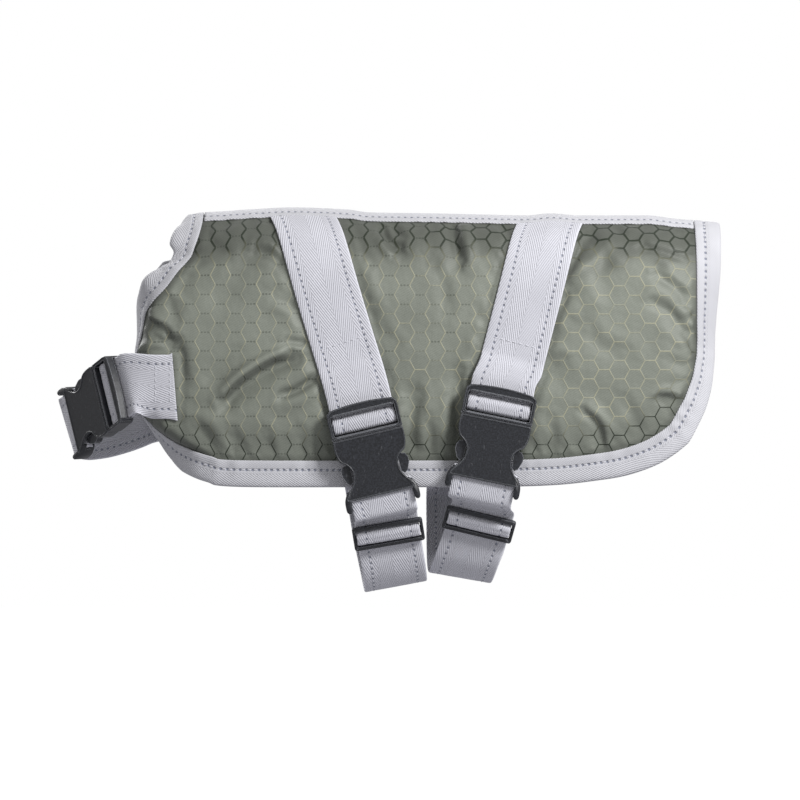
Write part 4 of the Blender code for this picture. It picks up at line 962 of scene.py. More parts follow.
# Webbing out of the socket: up in front of its bar, over it and back down behind
BELLY_LEAD = [(-66.0, 4.6), (-60.0, 6.0)]
CHEST_LEAD = [(-62.8, 6.0), (-58.6, 6.4)]
CHEST_ENTRY = (0.0, -66.6, 4.6)
SOCKET_ROUTE = ([(-54.5, 6.6), (-51.0, 6.6)]
                + arc_route((SOCKET_BAR, SOCKET_BAR_OUT), 2.6, 60, -60, 4)
                + [(-51.5, 1.4), (-55.0, 1.2), (-59.0, 1.1)])

SLIDER_ENTRY = (0.0, -13.0, -2.3)

# Webbing through a slider, upwards: behind the low bar, over the middle bar, behind the top bar
SLIDER_ROUTE = [(-10.0, -2.3), (-6.4, -2.3), (-5.0, -2.25), (-4.25, -1.8), (-3.85, -0.9), (-3.15, 0.9),
                (-2.75, 1.8), (-2.0, 2.25), (0.0, 2.3), (2.0, 2.25), (2.75, 1.8), (3.15, 0.9),
                (3.85, -0.9), (4.25, -1.8), (5.0, -2.25), (6.4, -2.3), (10.0, -2.3)]


def laid_row(places, lift, side, over_cloth=True):
    """Webbing laid on a side at flat places across its width: its lower and upper face."""
    u, s = np.asarray(places, float).T
    away, _ = edge_distance(u, s)
    height = lift + (padding(u, s, side, away) + CLEAR if over_cloth else 0.0)
    return np.stack([side_points(u, s, height + (1 + sign * WEB_SHAPE) * WEB_WALL / 2, side)
                     for sign in (-1, 1)])


def strap_places(start, end, along, top_cut=0.0):
    """Flat places across a strap, `along` from the start of its centre line."""
    run = (end - start) / np.linalg.norm(end - start)
    cross = np.array((run[1], -run[0]))
    slide = -top_cut * cross[1] / run[1]
    return np.array([start + run * (along + slide * w) + cross * w for w in ACROSS])


def sewn_rows(start, end, side):
    """Webbing sewn on a side, its upper end cut along the back tape."""
    length = float(np.linalg.norm(end - start))
    return [laid_row(strap_places(start, end, t * length, 1 - ease(t * 3)), 0.0, side)
            for t in np.linspace(0, 1, int(length / SEWN_STEP))]


def free_row(centre, across, run, flip=1):
    """Webbing in the air: its centre, the direction across it and the way it runs."""
    run = unit(run)
    across = unit(across - run * np.dot(across, run))
    out = np.cross(across, run) * flip
    line = np.asarray(centre) + ACROSS[:, None] * across
    return np.stack([line + sign * out * (WEB_SHAPE * WEB_WALL / 2)[:, None] for sign in (-1, 1)])


def in_frame(place, point):
    """A point of a buckle's or slider's own frame, in the coat's."""
    return place[0] + np.asarray(point, float) @ place[1]


def local_rows(place, route, flip=1):
    """Webbing along a route of (up, out) points in a buckle's or slider's own frame."""
    rows = []
    for k, (up, out) in enumerate(route):
        before, after = (0, *route[max(k - 1, 0)]), (0, *route[min(k + 1, len(route) - 1)])
        run = (np.array(after) - np.array(before)) @ place[1]
        rows.append(free_row(in_frame(place, (0, up, out)), place[1][0], run, flip))
    return rows


def frame_of(origin, across, up):
    """An origin with its directions across, up and out."""
    up = unit(up)
    across = unit(across - up * np.dot(across, up))
    return np.asarray(origin, float), np.stack((across, up, np.cross(across, up)))


def side_frame(strap):
    """Frame of a belly buckle: across, up the strap and outwards, at the top of its plug."""
    x, z = strap["buckle"]
    lean = radians(strap["lean"])
    origin = side_points(x, girth_at(z), BUCKLE_LIFT)
    low = side_points(x + BUCKLE_PROBE * sin(lean), girth_at(z - BUCKLE_PROBE * cos(lean)), BUCKLE_LIFT)
    return frame_of(origin, np.array((cos(lean), 0, sin(lean))), origin - low)


def slider_frame(slider):
    """Frame of a slider, leaning in towards the belly."""
    lean, slant, tilt = (radians(slider[key]) for key in ("lean", "slant", "tilt"))
    up = np.array((-sin(lean) * cos(slant), -sin(slant), cos(lean) * cos(slant)))
    return frame_of(slider["centre"], np.array((cos(tilt), 0, sin(tilt))), up)


def chest_frame():
    """Frame of the chest buckle, turned round the front of the chest."""
    up = unit(CHEST_ALONG)
    out = unit(CHEST_OUT - up * np.dot(CHEST_OUT, up))
    return frame_of(CHEST_BUCKLE, np.cross(up, out), up)


def loop_rows(last, route, tilts, entry, count):
    """Webbing in the air from its last row, through a route, to a slider or buckle."""
    middle = last[:, len(ACROSS) // 2].mean(axis=0)
    curve = spline([tuple(middle), *route, tuple(entry)], count)
    rows = []
    for k in range(1, count):
        part = k / (count - 1) * (len(tilts) - 1)
        low = min(int(part), len(tilts) - 2)
        tilt = tilts[low] + (tilts[low + 1] - tilts[low]) * (part - low)
        rows.append(free_row(curve[k], tilt, curve[min(k + 1, count - 1)] - curve[k - 1]))
    return rows


def chest_rows(patch, side):
    """Chest webbing sewn on the front of a side."""
    middle = sum(patch["sewn"]) / 2
    rows = []
    for k, u in enumerate(np.linspace(*patch["sewn"], 10)):
        z = patch["z"] + patch["slope"] * (u - middle)
        free = max(0.0, 1 - k / 3.5)
        skew = 3.4 * free * (ACROSS - WEB_HALF) / (2 * WEB_HALF)
        places = (u + patch["slope"] * ACROSS + skew, girth_at(z - ACROSS * (1 + 0.06 * free)))
        rows.append(laid_row(np.column_stack(places), 0.0, side))
    return rows


def left_strap_rows(key):
    """Left side strap: sewn to the side, then free and folded round the plug's bar."""
    strap = LEFT_STRAPS[key]
    top, cross = strap_line(strap, "cross")
    length = float(np.linalg.norm(cross - top))
    rows = sewn_rows(top, cross, -1)
    rows.append(laid_row(strap_places(top, cross, length + PLUG_LEAD), WEB_WALL + 2 * GAP, -1))
    rows += local_rows(side_frame(strap), PLUG_ROUTE, -1)
    rows.append(laid_row(strap_places(top, cross, length + PLUG_TAIL), 0.0, -1)[::-1])
    return rows


def right_strap_rows(key):
    """Right side strap: sewn to the side, down under the belly, through the slider and socket."""
    strap = RIGHT_STRAPS[key]
    top, cross = strap_line(strap, "cross")
    _, low = strap_line(strap, "hem")
    rows = sewn_rows(top, cross, 1)
    for along in FREE_ROWS:
        rows.append(laid_row(strap_places(cross, low, along), FREE_LIFT, 1, over_cloth=False))
    belly, place = BELLY[key], slider_frame(SLIDERS[key])
    route = list(zip(belly["x"], belly["y"], belly["z"]))
    tilts = [np.array((cos(radians(tilt)), 0, sin(radians(tilt)))) for tilt in belly["tilt"]]
    rows += loop_rows(rows[-1], route, tilts, in_frame(place, SLIDER_ENTRY), BELLY_ROWS)
    rows += local_rows(place, SLIDER_ROUTE)
    rows += local_rows(side_frame(LEFT_STRAPS[key]), BELLY_LEAD + SOCKET_ROUTE)
    return rows


def chest_left_rows():
    """Left chest strap: sewn on the side and folded round the plug's bar."""
    return chest_rows(CHEST_LEFT, -1) + local_rows(chest_frame(), PLUG_ROUTE, -1)


def chest_right_rows():
    """Right chest strap: sewn on the side, round the front and folded round the socket's bar."""
    place = chest_frame()
    rows = chest_rows(CHEST_RIGHT, 1)
    first = unit(rows[-1][0, -1] - rows[-1][0, 0])
    route = list(zip(CHEST_LOOP["x"], CHEST_LOOP["y"], CHEST_LOOP["z"]))[::-1]
    tilts = [first, place[1][0], place[1][0]]
    rows += loop_rows(rows[-1], route, tilts, in_frame(place, CHEST_ENTRY), CHEST_ROWS)
    return rows + local_rows(place, CHEST_LEAD + SOCKET_ROUTE)


MOST_TURN = radians(11)   # how far the webbing turns from one row to the next


def run_through(rows):
    """Rows set closely enough to bend smoothly, and the distance along the webbing at each."""
    rows = np.array(rows)
    middle = rows.mean(axis=1)[:, len(ACROSS) // 2]
    gaps = np.maximum(np.linalg.norm(np.diff(middle, axis=0), axis=1), 1e-3)
    wide = gaps[:, None, None, None]
    rises = np.diff(rows, axis=0) / wide
    inner = (rises[:-1] * wide[1:] + rises[1:] * wide[:-1]) / (wide[:-1] + wide[1:])
    slopes = np.concatenate((rises[:1], inner, rises[-1:]))
    heading = unit(np.diff(middle, axis=0))
    bends = np.arccos(np.clip(np.sum(heading[1:] * heading[:-1], axis=1), -1, 1))
    bends = np.concatenate(([0], bends, [0]))
    dense, places, start = [], [], 0.0
    for k, gap in enumerate(gaps):
        parts = int(np.ceil(max(gap / WEB_STEP, bends[k] / MOST_TURN, bends[k + 1] / MOST_TURN)))
        for t in np.arange(parts) / parts:
            dense.append(rows[k] * (1 + 2 * t) * (1 - t) ** 2 + gap * slopes[k] * t * (1 - t) ** 2
                         + rows[k + 1] * t * t * (3 - 2 * t) - gap * slopes[k + 1] * t * t * (1 - t))
            places.append(start + gap * t)
        start += gap
    return np.array(dense + [rows[-1]]), np.array(places + [start])


def make_webbing(name, rows):
    """One length of webbing: the object, its stitch rows, its rows of points and their run."""
    rows, run = run_through(rows)
    under, over = rows[:, 0], rows[:, 1]
    lips = [(under[:, k] + over[:, k]) / 2 + LIP * unit(over[:, k] - over[:, k + step])
            for k, step in ((-1, -1), (0, 1))]
    rings = np.concatenate((under, lips[0][:, None], over[:, ::-1], lips[1][:, None]), axis=1)
    across = np.concatenate((ACROSS, [WEB_HALF], ACROSS[::-1], [-WEB_HALF]))
    face = np.repeat((-1, 0, 1, 0), (len(ACROSS), 1, len(ACROSS), 1))
    piece = lofted(name, rings, flat_places(rings, across, run, face))
    lines = []
    for column in STITCHED:
        off = unit(over[:, column] - under[:, column])
        lines += [(over[:, column], off, run), (under[:, column], -off, run)]
    return piece, lines, rows, run


# ---------------------------------------------------------------- fittings

def inwards(outline):
    """Directions into a closed clockwise outline."""
    along = unit(np.roll(outline, -1, axis=0) - np.roll(outline, 1, axis=0))
    return np.stack((along[:, 1], -along[:, 0]), axis=1)


def inset(half, gap, whole=False):
    """A closed outline, clockwise, whole or from its right half, moved inwards by a gap."""
    rest = [] if whole else [(-x, y) for x, y in reversed(half)]
    line = np.array(half + rest + half[:1], float)
    run = run_lengths(line)
    points = between(np.linspace(0, run[-1], int(run[-1] / OUTLINE_STEP), endpoint=False), run, line)
    for _ in range(3):
        points = (np.roll(points, 1, axis=0) + 2 * points + np.roll(points, -1, axis=0)) / 4
    return points + gap * inwards(points)


def bead_mesh(place, beads):
    """Moulded beads along closed outlines (outline, how far out, radius) in a fitting's frame."""
    points, faces = [], []
    angle = np.arange(8) * pi / 4
    for outline, out, radius in beads:
        flat = outline[:, None] + radius * np.cos(angle)[None, :, None] * inwards(outline)[:, None]
        up = np.broadcast_to(out + radius * np.sin(angle), flat.shape[:2])
        first, count = sum(len(p) for p in points), len(outline)
        ring, k = np.arange(count)[:, None] * 8, np.arange(8)[None]
        beyond, after = (ring + 8) % (8 * count), (k + 1) % 8
        corners = np.stack((ring + k, ring + after, beyond + after, beyond + k), axis=-1)
        faces += (first + corners).reshape(-1, 4).tolist()
        points.append(in_frame(place, np.concatenate((flat, up[..., None]), axis=-1).reshape(-1, 3)))
    return np.concatenate(points), faces


# Outline of the socket's right ear, clockwise
EAR = [(16.6, -48.0), (17.5, -47.2), (20.8, -50.8), (22.3, -54.2), (22.5, -60.2), (21.9, -61.5),
       (20.6, -62.0), (19.1, -61.2), (18.7, -59.0), (18.7, -54.0), (17.4, -50.4)]
EAR_RINGS = ((0.5, 0.2), (0.0, 0.8), (0.0, BUCKLE_DEPTH), (0.5, BUCKLE_DEPTH + 0.6))


def ear_mesh(place):
    """The socket's two rounded ears, between which the webbing passes."""
    points, faces = [], []
    for flip in (1, -1):
        outline = [(flip * x, y) for x, y in EAR[::flip]]
        rings = [np.insert(inset(outline, gap, whole=True), 2, out, axis=1) for gap, out in EAR_RINGS]
        first, count = sum(len(p) for p in points), len(rings[0])
        faces += [[first + k for k in face] for face in ring_faces(len(rings), count)]
        points.append(in_frame(place, np.concatenate(rings)))
    return np.concatenate(points), faces


def plug_beads():
    """Beads round the plug's frame, and above and below its window."""
    top = [(x, 1.9 - 1.9 * (x / BUCKLE_HALF) ** 2) for x in (0.0, 4.0, 8.0, 12.0, 16.0, 19.0)]
    round_frame = top + [(BUCKLE_HALF, -1.6), (BUCKLE_HALF, -16.9)]
    above = [(17.5, -2.2), (19.0, -2.5), (19.0, -3.1), (17.5, -3.1)]
    below = [(18.4, -15.5), (18.4, -16.3)]
    return [(inset(half, gap), BUCKLE_DEPTH - 0.1, radius)
            for half, gap, radius in ((round_frame, 0.55, 0.55), (above, 0.25, 0.4), (below, 0.2, 0.35))]


def socket_beads():
    """A bead round the socket's face, with its side openings."""
    half = [(BUCKLE_HALF, SOCKET_TOP - 0.2), (BUCKLE_HALF, -24.0), (20.8, -28.0), (19.4, -31.0),
            (16.2, -33.0), (14.2, -35.8), (13.6, -39.0), (14.4, -43.5), (17.0, -47.6), (20.2, -51.2),
            (21.6, -54.3)]
    return [(inset(half, 0.55), BUCKLE_DEPTH + 0.2, 0.55)]


def slider_beads():
    """Rounded faces of a slider's frame, front and back."""
    half_x, half_y = SLIDER_HALF
    outline = [(half_x, half_y), (half_x, -half_y)]
    return [(inset(outline, 0.95), out, 0.95) for out in (-0.6, 0.6)]


# ---------------------------------------------------------------- stitches

def stitch_mesh(lines, pitch, thread):
    """Short threads along lines of (points, directions off the face, distance along)."""
    x = np.array((-1.0, -0.78, 0.0, 0.78, 1.0))
    fat = np.array((0.35, 0.88, 1.0, 0.88, 0.35))
    sink = np.array((-0.9, -0.1, 0.25, -0.1, -0.9))
    angle = np.arange(6) * pi / 3
    radius, half = thread.radius / MM, pitch * thread.share / 2
    base_x = np.repeat(x, 6)
    base_y = (fat[:, None] * np.cos(angle)).ravel() * radius
    base_z = (fat[:, None] * np.sin(angle) * 0.85 + sink[:, None]).ravel() * radius
    points = []
    for spots, offs, run in lines:
        middles = np.arange(np.ceil(run[0] / pitch), np.floor(run[-1] / pitch)) * pitch + pitch / 2
        if not len(middles):
            continue
        a, b = between(middles - half, run, spots), between(middles + half, run, spots)
        along = unit(b - a)
        off = between(middles, run, offs)
        off = unit(off - along * np.sum(off * along, axis=1)[:, None])
        side = np.cross(off, along)
        length = np.linalg.norm(b - a, axis=1)[:, None, None] / 2
        points.append((a + b)[:, None] / 2 + along[:, None] * base_x[None, :, None] * length
                      + side[:, None] * base_y[None, :, None] + off[:, None] * base_z[None, :, None])
    points = np.concatenate(points)
    one = ring_faces(5, 6)[:-2] + [[0, 1, 2, 3], [0, 3, 4, 5], [24, 25, 26, 27], [24, 27, 28, 29]]
    faces = (np.array(one)[None] + 30 * np.arange(len(points))[:, None, None]).reshape(-1, 4)
    return points.reshape(-1, 3), faces


def make_stitches(name, lines, pitch, slot, thread):
    """All the stitches on one piece."""
    points, faces = stitch_mesh(lines, pitch / MM, thread)
    finish_piece(new_piece(name, points, faces, turn_out=False), "Sewing thread", slot)


def cross_line(rows, run, along, half):
    """A stitch line across the upper face of webbing, at a distance along it."""
    fine = np.linspace(-half, half, 24)
    under, over = (between(fine, ACROSS, face) for face in between([along], run, rows)[0])
    return over, unit(over - under), fine + half


# ---------------------------------------------------------------- node groups

class Steps:
    """Short ways to add nodes to a tree."""

    def __init__(self, tree):
        self.tree = tree

    def node(self, kind, **settings):
        made = self.tree.nodes.new(kind)
        for key, value in settings.items():
            setattr(made, key, value)
        return made

    def put(self, socket, value):
        if isinstance(value, bpy.types.NodeSocket):
            self.tree.links.new(value, socket)
        elif value is not None:
            socket.default_value = value

    def math(self, operation, *values):
        made = self.node("ShaderNodeMath", operation=operation)
        for socket, value in zip(made.inputs, values):
            self.put(socket, value)
        return made.outputs[0]

    def fade(self, value, start, end, low=0.0, high=1.0):
        """Soft step from `low` at start to `high` at end."""
        made = self.node("ShaderNodeMapRange", interpolation_type="SMOOTHSTEP")
        for socket, given in zip(made.inputs, (value, start, end, low, high)):
            self.put(socket, given)
        return made.outputs[0]

    def mix(self, share, a, b, blend="MIX"):
        made = self.node("ShaderNodeMix", data_type="RGBA", blend_type=blend)
        self.put(made.inputs["Factor"], share)
        for socket, value in zip((made.inputs[6], made.inputs[7]), (a, b)):
            self.put(socket, (*value, 1.0) if isinstance(value, tuple) and len(value) == 3 else value)
        return made.outputs[2]

    def split(self, vector):
        made = self.node("ShaderNodeSeparateXYZ")
        self.put(made.inputs[0], vector)
        return made.outputs

    def noise(self, vector, scale, detail=2.0):
        made = self.node("ShaderNodeTexNoise")
        self.put(made.inputs["Vector"], vector)
        made.inputs["Scale"].default_value = scale
        made.inputs["Detail"].default_value = detail
        return made.outputs["Fac"]

    def bump(self, height, strength, distance):
        made = self.node("ShaderNodeBump")
        self.put(made.inputs["Height"], height)
        made.inputs["Strength"].default_value = strength
        made.inputs["Distance"].default_value = distance
        return made.outputs[0]

    def grey(self, value):
        """A colour of equal red, green and blue."""
        made = self.node("ShaderNodeCombineXYZ")
        for socket in made.inputs:
            self.put(socket, value)
        return made.outputs[0]


def node_group(name, inputs, outputs):
    """A new node group with its sockets: the steps to fill it in, its inputs and its outputs."""
    tree = bpy.data.node_groups.new(name, "ShaderNodeTree")
    for label, kind, default in inputs:
        socket = tree.interface.new_socket(label, in_out="INPUT", socket_type=f"NodeSocket{kind}")
        if default is not None:
            socket.default_value = default
    for label, kind in outputs:
        tree.interface.new_socket(label, in_out="OUTPUT", socket_type=f"NodeSocket{kind}")
    return Steps(tree), tree.nodes.new("NodeGroupInput").outputs, tree.nodes.new("NodeGroupOutput").inputs


def use_group(steps, name, **values):
    """A node group put into a tree, with its inputs set."""
    made = steps.node("ShaderNodeGroup", node_tree=bpy.data.node_groups[name])
    for label, value in values.items():
        steps.put(made.inputs[label.replace("_", " ")], value)
    return made.outputs


def hexagon_group():
    """Hexagons drawn in yarn on the flat cloth, with short dashes along their level edges."""
    steps, given, made = node_group(
        "Hexagon ripstop",
        [("Place", "Vector", None), ("Column", "Float", 9.12), ("Row", "Float", 11.04),
         ("Line", "Float", 0.9)],
        [("Line", "Float"), ("Dashes", "Float"), ("Level", "Float"), ("Twill", "Float")])
    x, y, _ = steps.split(given["Place"])
    m = steps.math
    half = m("MULTIPLY", given["Row"], 0.5)

    def lattice(shift):
        px = m("PINGPONG", m("ADD", x, m("MULTIPLY", given["Column"], shift)), given["Column"])
        py = m("PINGPONG", m("ADD", y, m("MULTIPLY", half, shift)), half)
        level = m("DIVIDE", py, half)
        slant = m("ADD", m("MULTIPLY", level, 0.5), m("DIVIDE", m("MULTIPLY", px, 1.5), given["Column"]))
        return px, py, level, slant, m("MAXIMUM", level, slant)

    a, b = lattice(0.0), lattice(1.0)
    first = m("LESS_THAN", a[4], b[4])

    def chosen(k):
        return m("ADD", m("MULTIPLY", a[k], first), m("MULTIPLY", b[k], m("SUBTRACT", 1.0, first)))

    away = m("MULTIPLY", m("SUBTRACT", 1.0, chosen(4)), half)
    width = m("MULTIPLY", given["Line"], 0.5)
    inner, outer = (m("MULTIPLY", width, share) for share in (0.45, 1.25))
    steps.put(made["Line"], steps.fade(away, inner, outer, 1.0, 0.0))
    level = m("GREATER_THAN", chosen(2), chosen(3))
    steps.put(made["Level"], level)
    dash_x = m("PINGPONG", chosen(0), 0.95)
    dash_y = m("SUBTRACT", half, chosen(1))
    near = m("SQRT", m("ADD", m("POWER", m("MULTIPLY", dash_x, 0.8), 2.0), m("POWER", dash_y, 2.0)))
    steps.put(made["Dashes"], m("MULTIPLY", steps.fade(near, 0.34, 0.74, 1.0, 0.0), level))
    slanted = m("ADD", m("MULTIPLY", x, 0.5), m("MULTIPLY", y, 0.86))
    steps.put(made["Twill"], m("SINE", m("MULTIPLY", slanted, 2 * pi / 1.25)))


def herringbone_group():
    """Ribs that change their slant from lane to lane."""
    steps, given, made = node_group(
        "Herringbone",
        [("Across", "Float", 0.0), ("Along", "Float", 0.0), ("Lane", "Float", 9.5), ("Rib", "Float", 1.3),
         ("Slant", "Float", 0.36)],
        [("Height", "Float"), ("Lane edge", "Float")])
    m = steps.math
    fold = m("PINGPONG", m("ADD", given["Across"], m("MULTIPLY", given["Lane"], 4.0)), given["Lane"])
    phase = m("ADD", m("MULTIPLY", fold, 0.93), m("MULTIPLY", given["Along"], given["Slant"]))
    wave = m("SINE", m("MULTIPLY", m("DIVIDE", phase, given["Rib"]), 2 * pi))
    steps.put(made["Height"], m("ADD", m("MULTIPLY", wave, 0.5), 0.5))
    edge = m("MINIMUM", fold, m("SUBTRACT", given["Lane"], fold))
    steps.put(made["Lane edge"], steps.fade(edge, 0.15, 0.6, 1.0, 0.0))


def stitch_hole_group():
    """Small holes between the stitches of a row, painted dark as shade where the group is used, and the
    groove that the row lies in.
    """
    steps, given, made = node_group(
        "Stitch holes",
        [("Across", "Float", 0.0), ("Along", "Float", 0.0), ("Pitch", "Float", 3.7), ("Size", "Float", 0.6)],
        [("Holes", "Float"), ("Groove", "Float")])
    m = steps.math
    dx = m("PINGPONG", given["Along"], m("MULTIPLY", given["Pitch"], 0.5))
    away = m("SQRT", m("ADD", m("POWER", m("MULTIPLY", dx, 0.85), 2.0), m("POWER", given["Across"], 2.0)))
    steps.put(made["Holes"], steps.fade(away, m("MULTIPLY", given["Size"], 0.45), given["Size"], 1.0, 0.0))
    steps.put(made["Groove"], steps.fade(m("ABSOLUTE", given["Across"]), 0.3, 1.3, 1.0, 0.0))


def grain_group():
    """Moulded plastic: fine grain, and a few pale scuffs."""
    steps, given, made = node_group(
        "Moulded grain", [("Place", "Vector", None)], [("Grain", "Float"), ("Scuffs", "Float")])
    steps.put(made["Grain"], steps.noise(given["Place"], 2600.0, 3.0))
    streak = steps.node("ShaderNodeMapping")
    steps.put(streak.inputs["Vector"], given["Place"])
    streak.inputs["Rotation"].default_value = (0.3, 0.5, 0.4)
    streak.inputs["Scale"].default_value = (900.0, 60.0, 300.0)
    rough = steps.noise(streak.outputs[0], 1.0, 2.0)
    steps.put(made["Scuffs"], steps.fade(rough, 0.62, 0.80))


def shader(name):
    """A new material, its steps and its shader."""
    made = bpy.data.materials.new(name)
    made.use_nodes = True
    steps = Steps(made.node_tree)
    return made, steps, made.node_tree.nodes["Principled BSDF"]


def polish(surface, **values):
    """Plain values set on a shader's own sockets."""
    for label, value in values.items():
        surface.inputs[label.replace("_", " ")].default_value = value


def flat_place(steps):
    """The place of each point on the flat cloth."""
    return steps.node("ShaderNodeAttribute", attribute_name="flat").outputs["Vector"]


def tinted(colour, share):
    """A colour made lighter or darker."""
    return tuple(min(share * c, 1.0) for c in colour)


def cloth_finish(settings):
    """Padded ripstop: hexagon yarn on a twill ground outside, plain lining inside, with painted shade."""
    made, steps, surface = shader("Hexagon ripstop cloth")
    m, place = steps.math, flat_place(steps)
    u, s, face = steps.split(place)
    rim = steps.node("ShaderNodeAttribute", attribute_name="rim").outputs["Fac"]
    wide = steps.noise(place, 0.021, 1.0)
    patch = steps.noise(place, 0.075, 1.0)
    # Painted shade: darker ground and darker, stronger yarn near the back, along the hem and where the cloth
    # turns away
    back_shade = steps.fade(m("ADD", s, m("MULTIPLY", patch, 24.0)), 40.0, 66.0, 1.0, 0.0)
    width = m("MULTIPLY", m("ADD", m("MULTIPLY", back_shade, 0.9), 1.0), settings.line / MM)
    pattern = use_group(steps, "Hexagon ripstop", Place=place, Column=settings.column / MM,
                        Row=settings.row / MM, Line=width)
    from_hem = m("ADD", rim, m("MULTIPLY", patch, 16.0))
    hem_shade = m("MULTIPLY", steps.fade(from_hem, 17.0, 31.0, 1.0, 0.0), steps.fade(s, 95.0, 130.0))
    tilted = steps.node("ShaderNodeLayerWeight")
    tilted.inputs["Blend"].default_value = 0.5
    turned = steps.fade(tilted.outputs["Facing"], 0.04, 0.5)
    shade = m("MAXIMUM", m("MAXIMUM", back_shade, hem_shade), turned)
    yarn = steps.mix(shade, tuple(settings.pale), tuple(settings.dark))
    ground = steps.mix(steps.fade(wide, 0.35, 0.65), tinted(settings.colour, 0.93),
                       tinted(settings.colour, 1.06))
    for mask, share, tint in ((back_shade, 0.95, 0.5), (hem_shade, 0.5, 0.72), (turned, 0.8, 0.45)):
        ground = steps.mix(m("MULTIPLY", mask, share), ground, tinted(settings.colour, tint))
    # Painted shade: dimmer beside the tape and down in the creases
    pinched = steps.node("ShaderNodeAmbientOcclusion", samples=4)
    pinched.inputs["Distance"].default_value = 0.006
    seam = m("MULTIPLY", steps.fade(rim, 0.6, 4.5, 1.0, 0.0), 0.45)
    contact_shade = m("MAXIMUM", seam, steps.fade(pinched.outputs["AO"], 0.45, 0.92, 0.62, 0.0))
    ground = steps.mix(contact_shade, ground, tinted(settings.colour, 0.25))
    twill = m("ADD", 1.0, m("MULTIPLY", pattern["Twill"], 0.05))
    ground = steps.mix(1.0, ground, steps.grey(twill), "MULTIPLY")
    # In places the hexagons' level edges are dark dashes, more of them towards the front: the dashes are the
    # weave, their darkness there is painted shade
    dashed = steps.fade(m("ADD", m("MULTIPLY", wide, 1.6), m("MULTIPLY", u, -0.004)), 0.62, 0.92)
    drawn = m("MULTIPLY", pattern["Line"], m("SUBTRACT", 1.0, m("MULTIPLY", pattern["Level"], dashed)))
    strength = m("ADD", 0.32, m("MULTIPLY", steps.fade(patch, 0.35, 0.65), 0.46))
    colour = steps.mix(m("MULTIPLY", drawn, m("MAXIMUM", strength, shade)), ground, yarn)
    faint = m("ADD", 0.2, m("MULTIPLY", patch, 0.4))
    dots = m("MULTIPLY", m("MULTIPLY", pattern["Dashes"], dashed), faint)
    colour = steps.mix(dots, colour, tuple(settings.dark))
    outside = m("GREATER_THAN", face, 0.5)
    steps.put(surface.inputs["Base Color"], steps.mix(outside, tuple(settings.lining), colour))
    polish(surface, Roughness=0.56, Specular_IOR_Level=0.42, Sheen_Weight=settings.sheen,
           Sheen_Roughness=0.45)
    height = m("ADD", m("MULTIPLY", drawn, 0.8), m("MULTIPLY", pattern["Twill"], 0.16))
    height = m("ADD", height, m("MULTIPLY", dots, -0.6))
    height = m("ADD", height, m("MULTIPLY", steps.noise(place, 0.16, 2.0), 4.0))
    steps.put(surface.inputs["Normal"], steps.bump(height, 0.6, 0.00018))
    return made


# What differs between the weaves: how they cloud over, their ribs' slant, the holes of their stitch rows and
# their painted shade, their shine, and how high their ribs, holes and grooves stand
WEAVES = {
    "tape": {"cloud": 0.05, "tints": (0.97, 1.02), "slant": 0.62, "hole": 1.0,
             "hole_shade": (0.19, 0.21, 0.29), "heights": (0.5, 1.6, 0.5),
             "shine": {"Roughness": 0.74, "Specular_IOR_Level": 0.3, "Sheen_Weight": 0.2}},
    "webbing": {"cloud": 0.04, "tints": (0.96, 1.03), "slant": 0.36, "hole": 0.84,
                "hole_shade": (0.20, 0.22, 0.30), "heights": (0.6, 1.5, 0.4),
                "shine": {"Roughness": 0.66, "Specular_IOR_Level": 0.35, "Sheen_Weight": 0.15}},
}


def woven_finish(name, kind, settings, lane, row, pitch, two_rows=True):
    """Ribbed tape or webbing with the holes of its one or two stitch rows, and painted shade on its ribs and
    in its holes.
    """
    made, steps, surface = shader(name)
    m, place, look = steps.math, flat_place(steps), WEAVES[kind]
    across, along, _ = steps.split(place)
    cloud = steps.fade(steps.noise(place, look["cloud"], 1.0), 0.3, 0.7)
    colour = steps.mix(cloud, *(tinted(settings.colour, tint) for tint in look["tints"]))
    ribs = use_group(steps, "Herringbone", Across=across, Along=along, Lane=lane, Rib=settings.rib / MM,
                     Slant=look["slant"])
    # Painted shade on the ribs and along the lane edges
    light = m("ADD", 0.85, m("MULTIPLY", ribs["Height"], 0.17))
    light = m("SUBTRACT", light, m("MULTIPLY", ribs["Lane edge"], 0.06))
    colour = steps.mix(1.0, colour, steps.grey(light), "MULTIPLY")
    beside = m("ABSOLUTE", across) if two_rows else across
    marks = use_group(steps, "Stitch holes", Across=m("SUBTRACT", beside, row), Along=along,
                      Pitch=pitch / MM, Size=look["hole"])
    # Painted shade in the stitch holes
    colour = steps.mix(m("MULTIPLY", marks["Holes"], 0.8), colour, look["hole_shade"])
    if kind == "webbing":
        # Lighter along both edges of the webbing
        edge_band = steps.fade(beside, 17.9, 18.5)
        colour = steps.mix(m("MULTIPLY", edge_band, 0.5), colour, tinted(settings.colour, 1.3))
    steps.put(surface.inputs["Base Color"], colour)
    polish(surface, **look["shine"])
    rib, hole, groove = look["heights"]
    height = m("SUBTRACT", m("MULTIPLY", ribs["Height"], rib), m("MULTIPLY", marks["Holes"], hole))
    height = m("SUBTRACT", height, m("MULTIPLY", marks["Groove"], groove))
    steps.put(surface.inputs["Normal"], steps.bump(height, 0.8, 0.0005))
    return made


def thread_finish(settings):
    """Plain sewing thread."""
    made, steps, surface = shader("Sewing thread")
    place = steps.node("ShaderNodeTexCoord").outputs["Object"]
    tone = steps.noise(place, 700.0, 1.0)
    steps.put(surface.inputs["Base Color"],
              steps.mix(tone, tinted(settings.colour, 0.92), tuple(settings.colour)))
    surface.inputs["Roughness"].default_value = 0.6
    return made


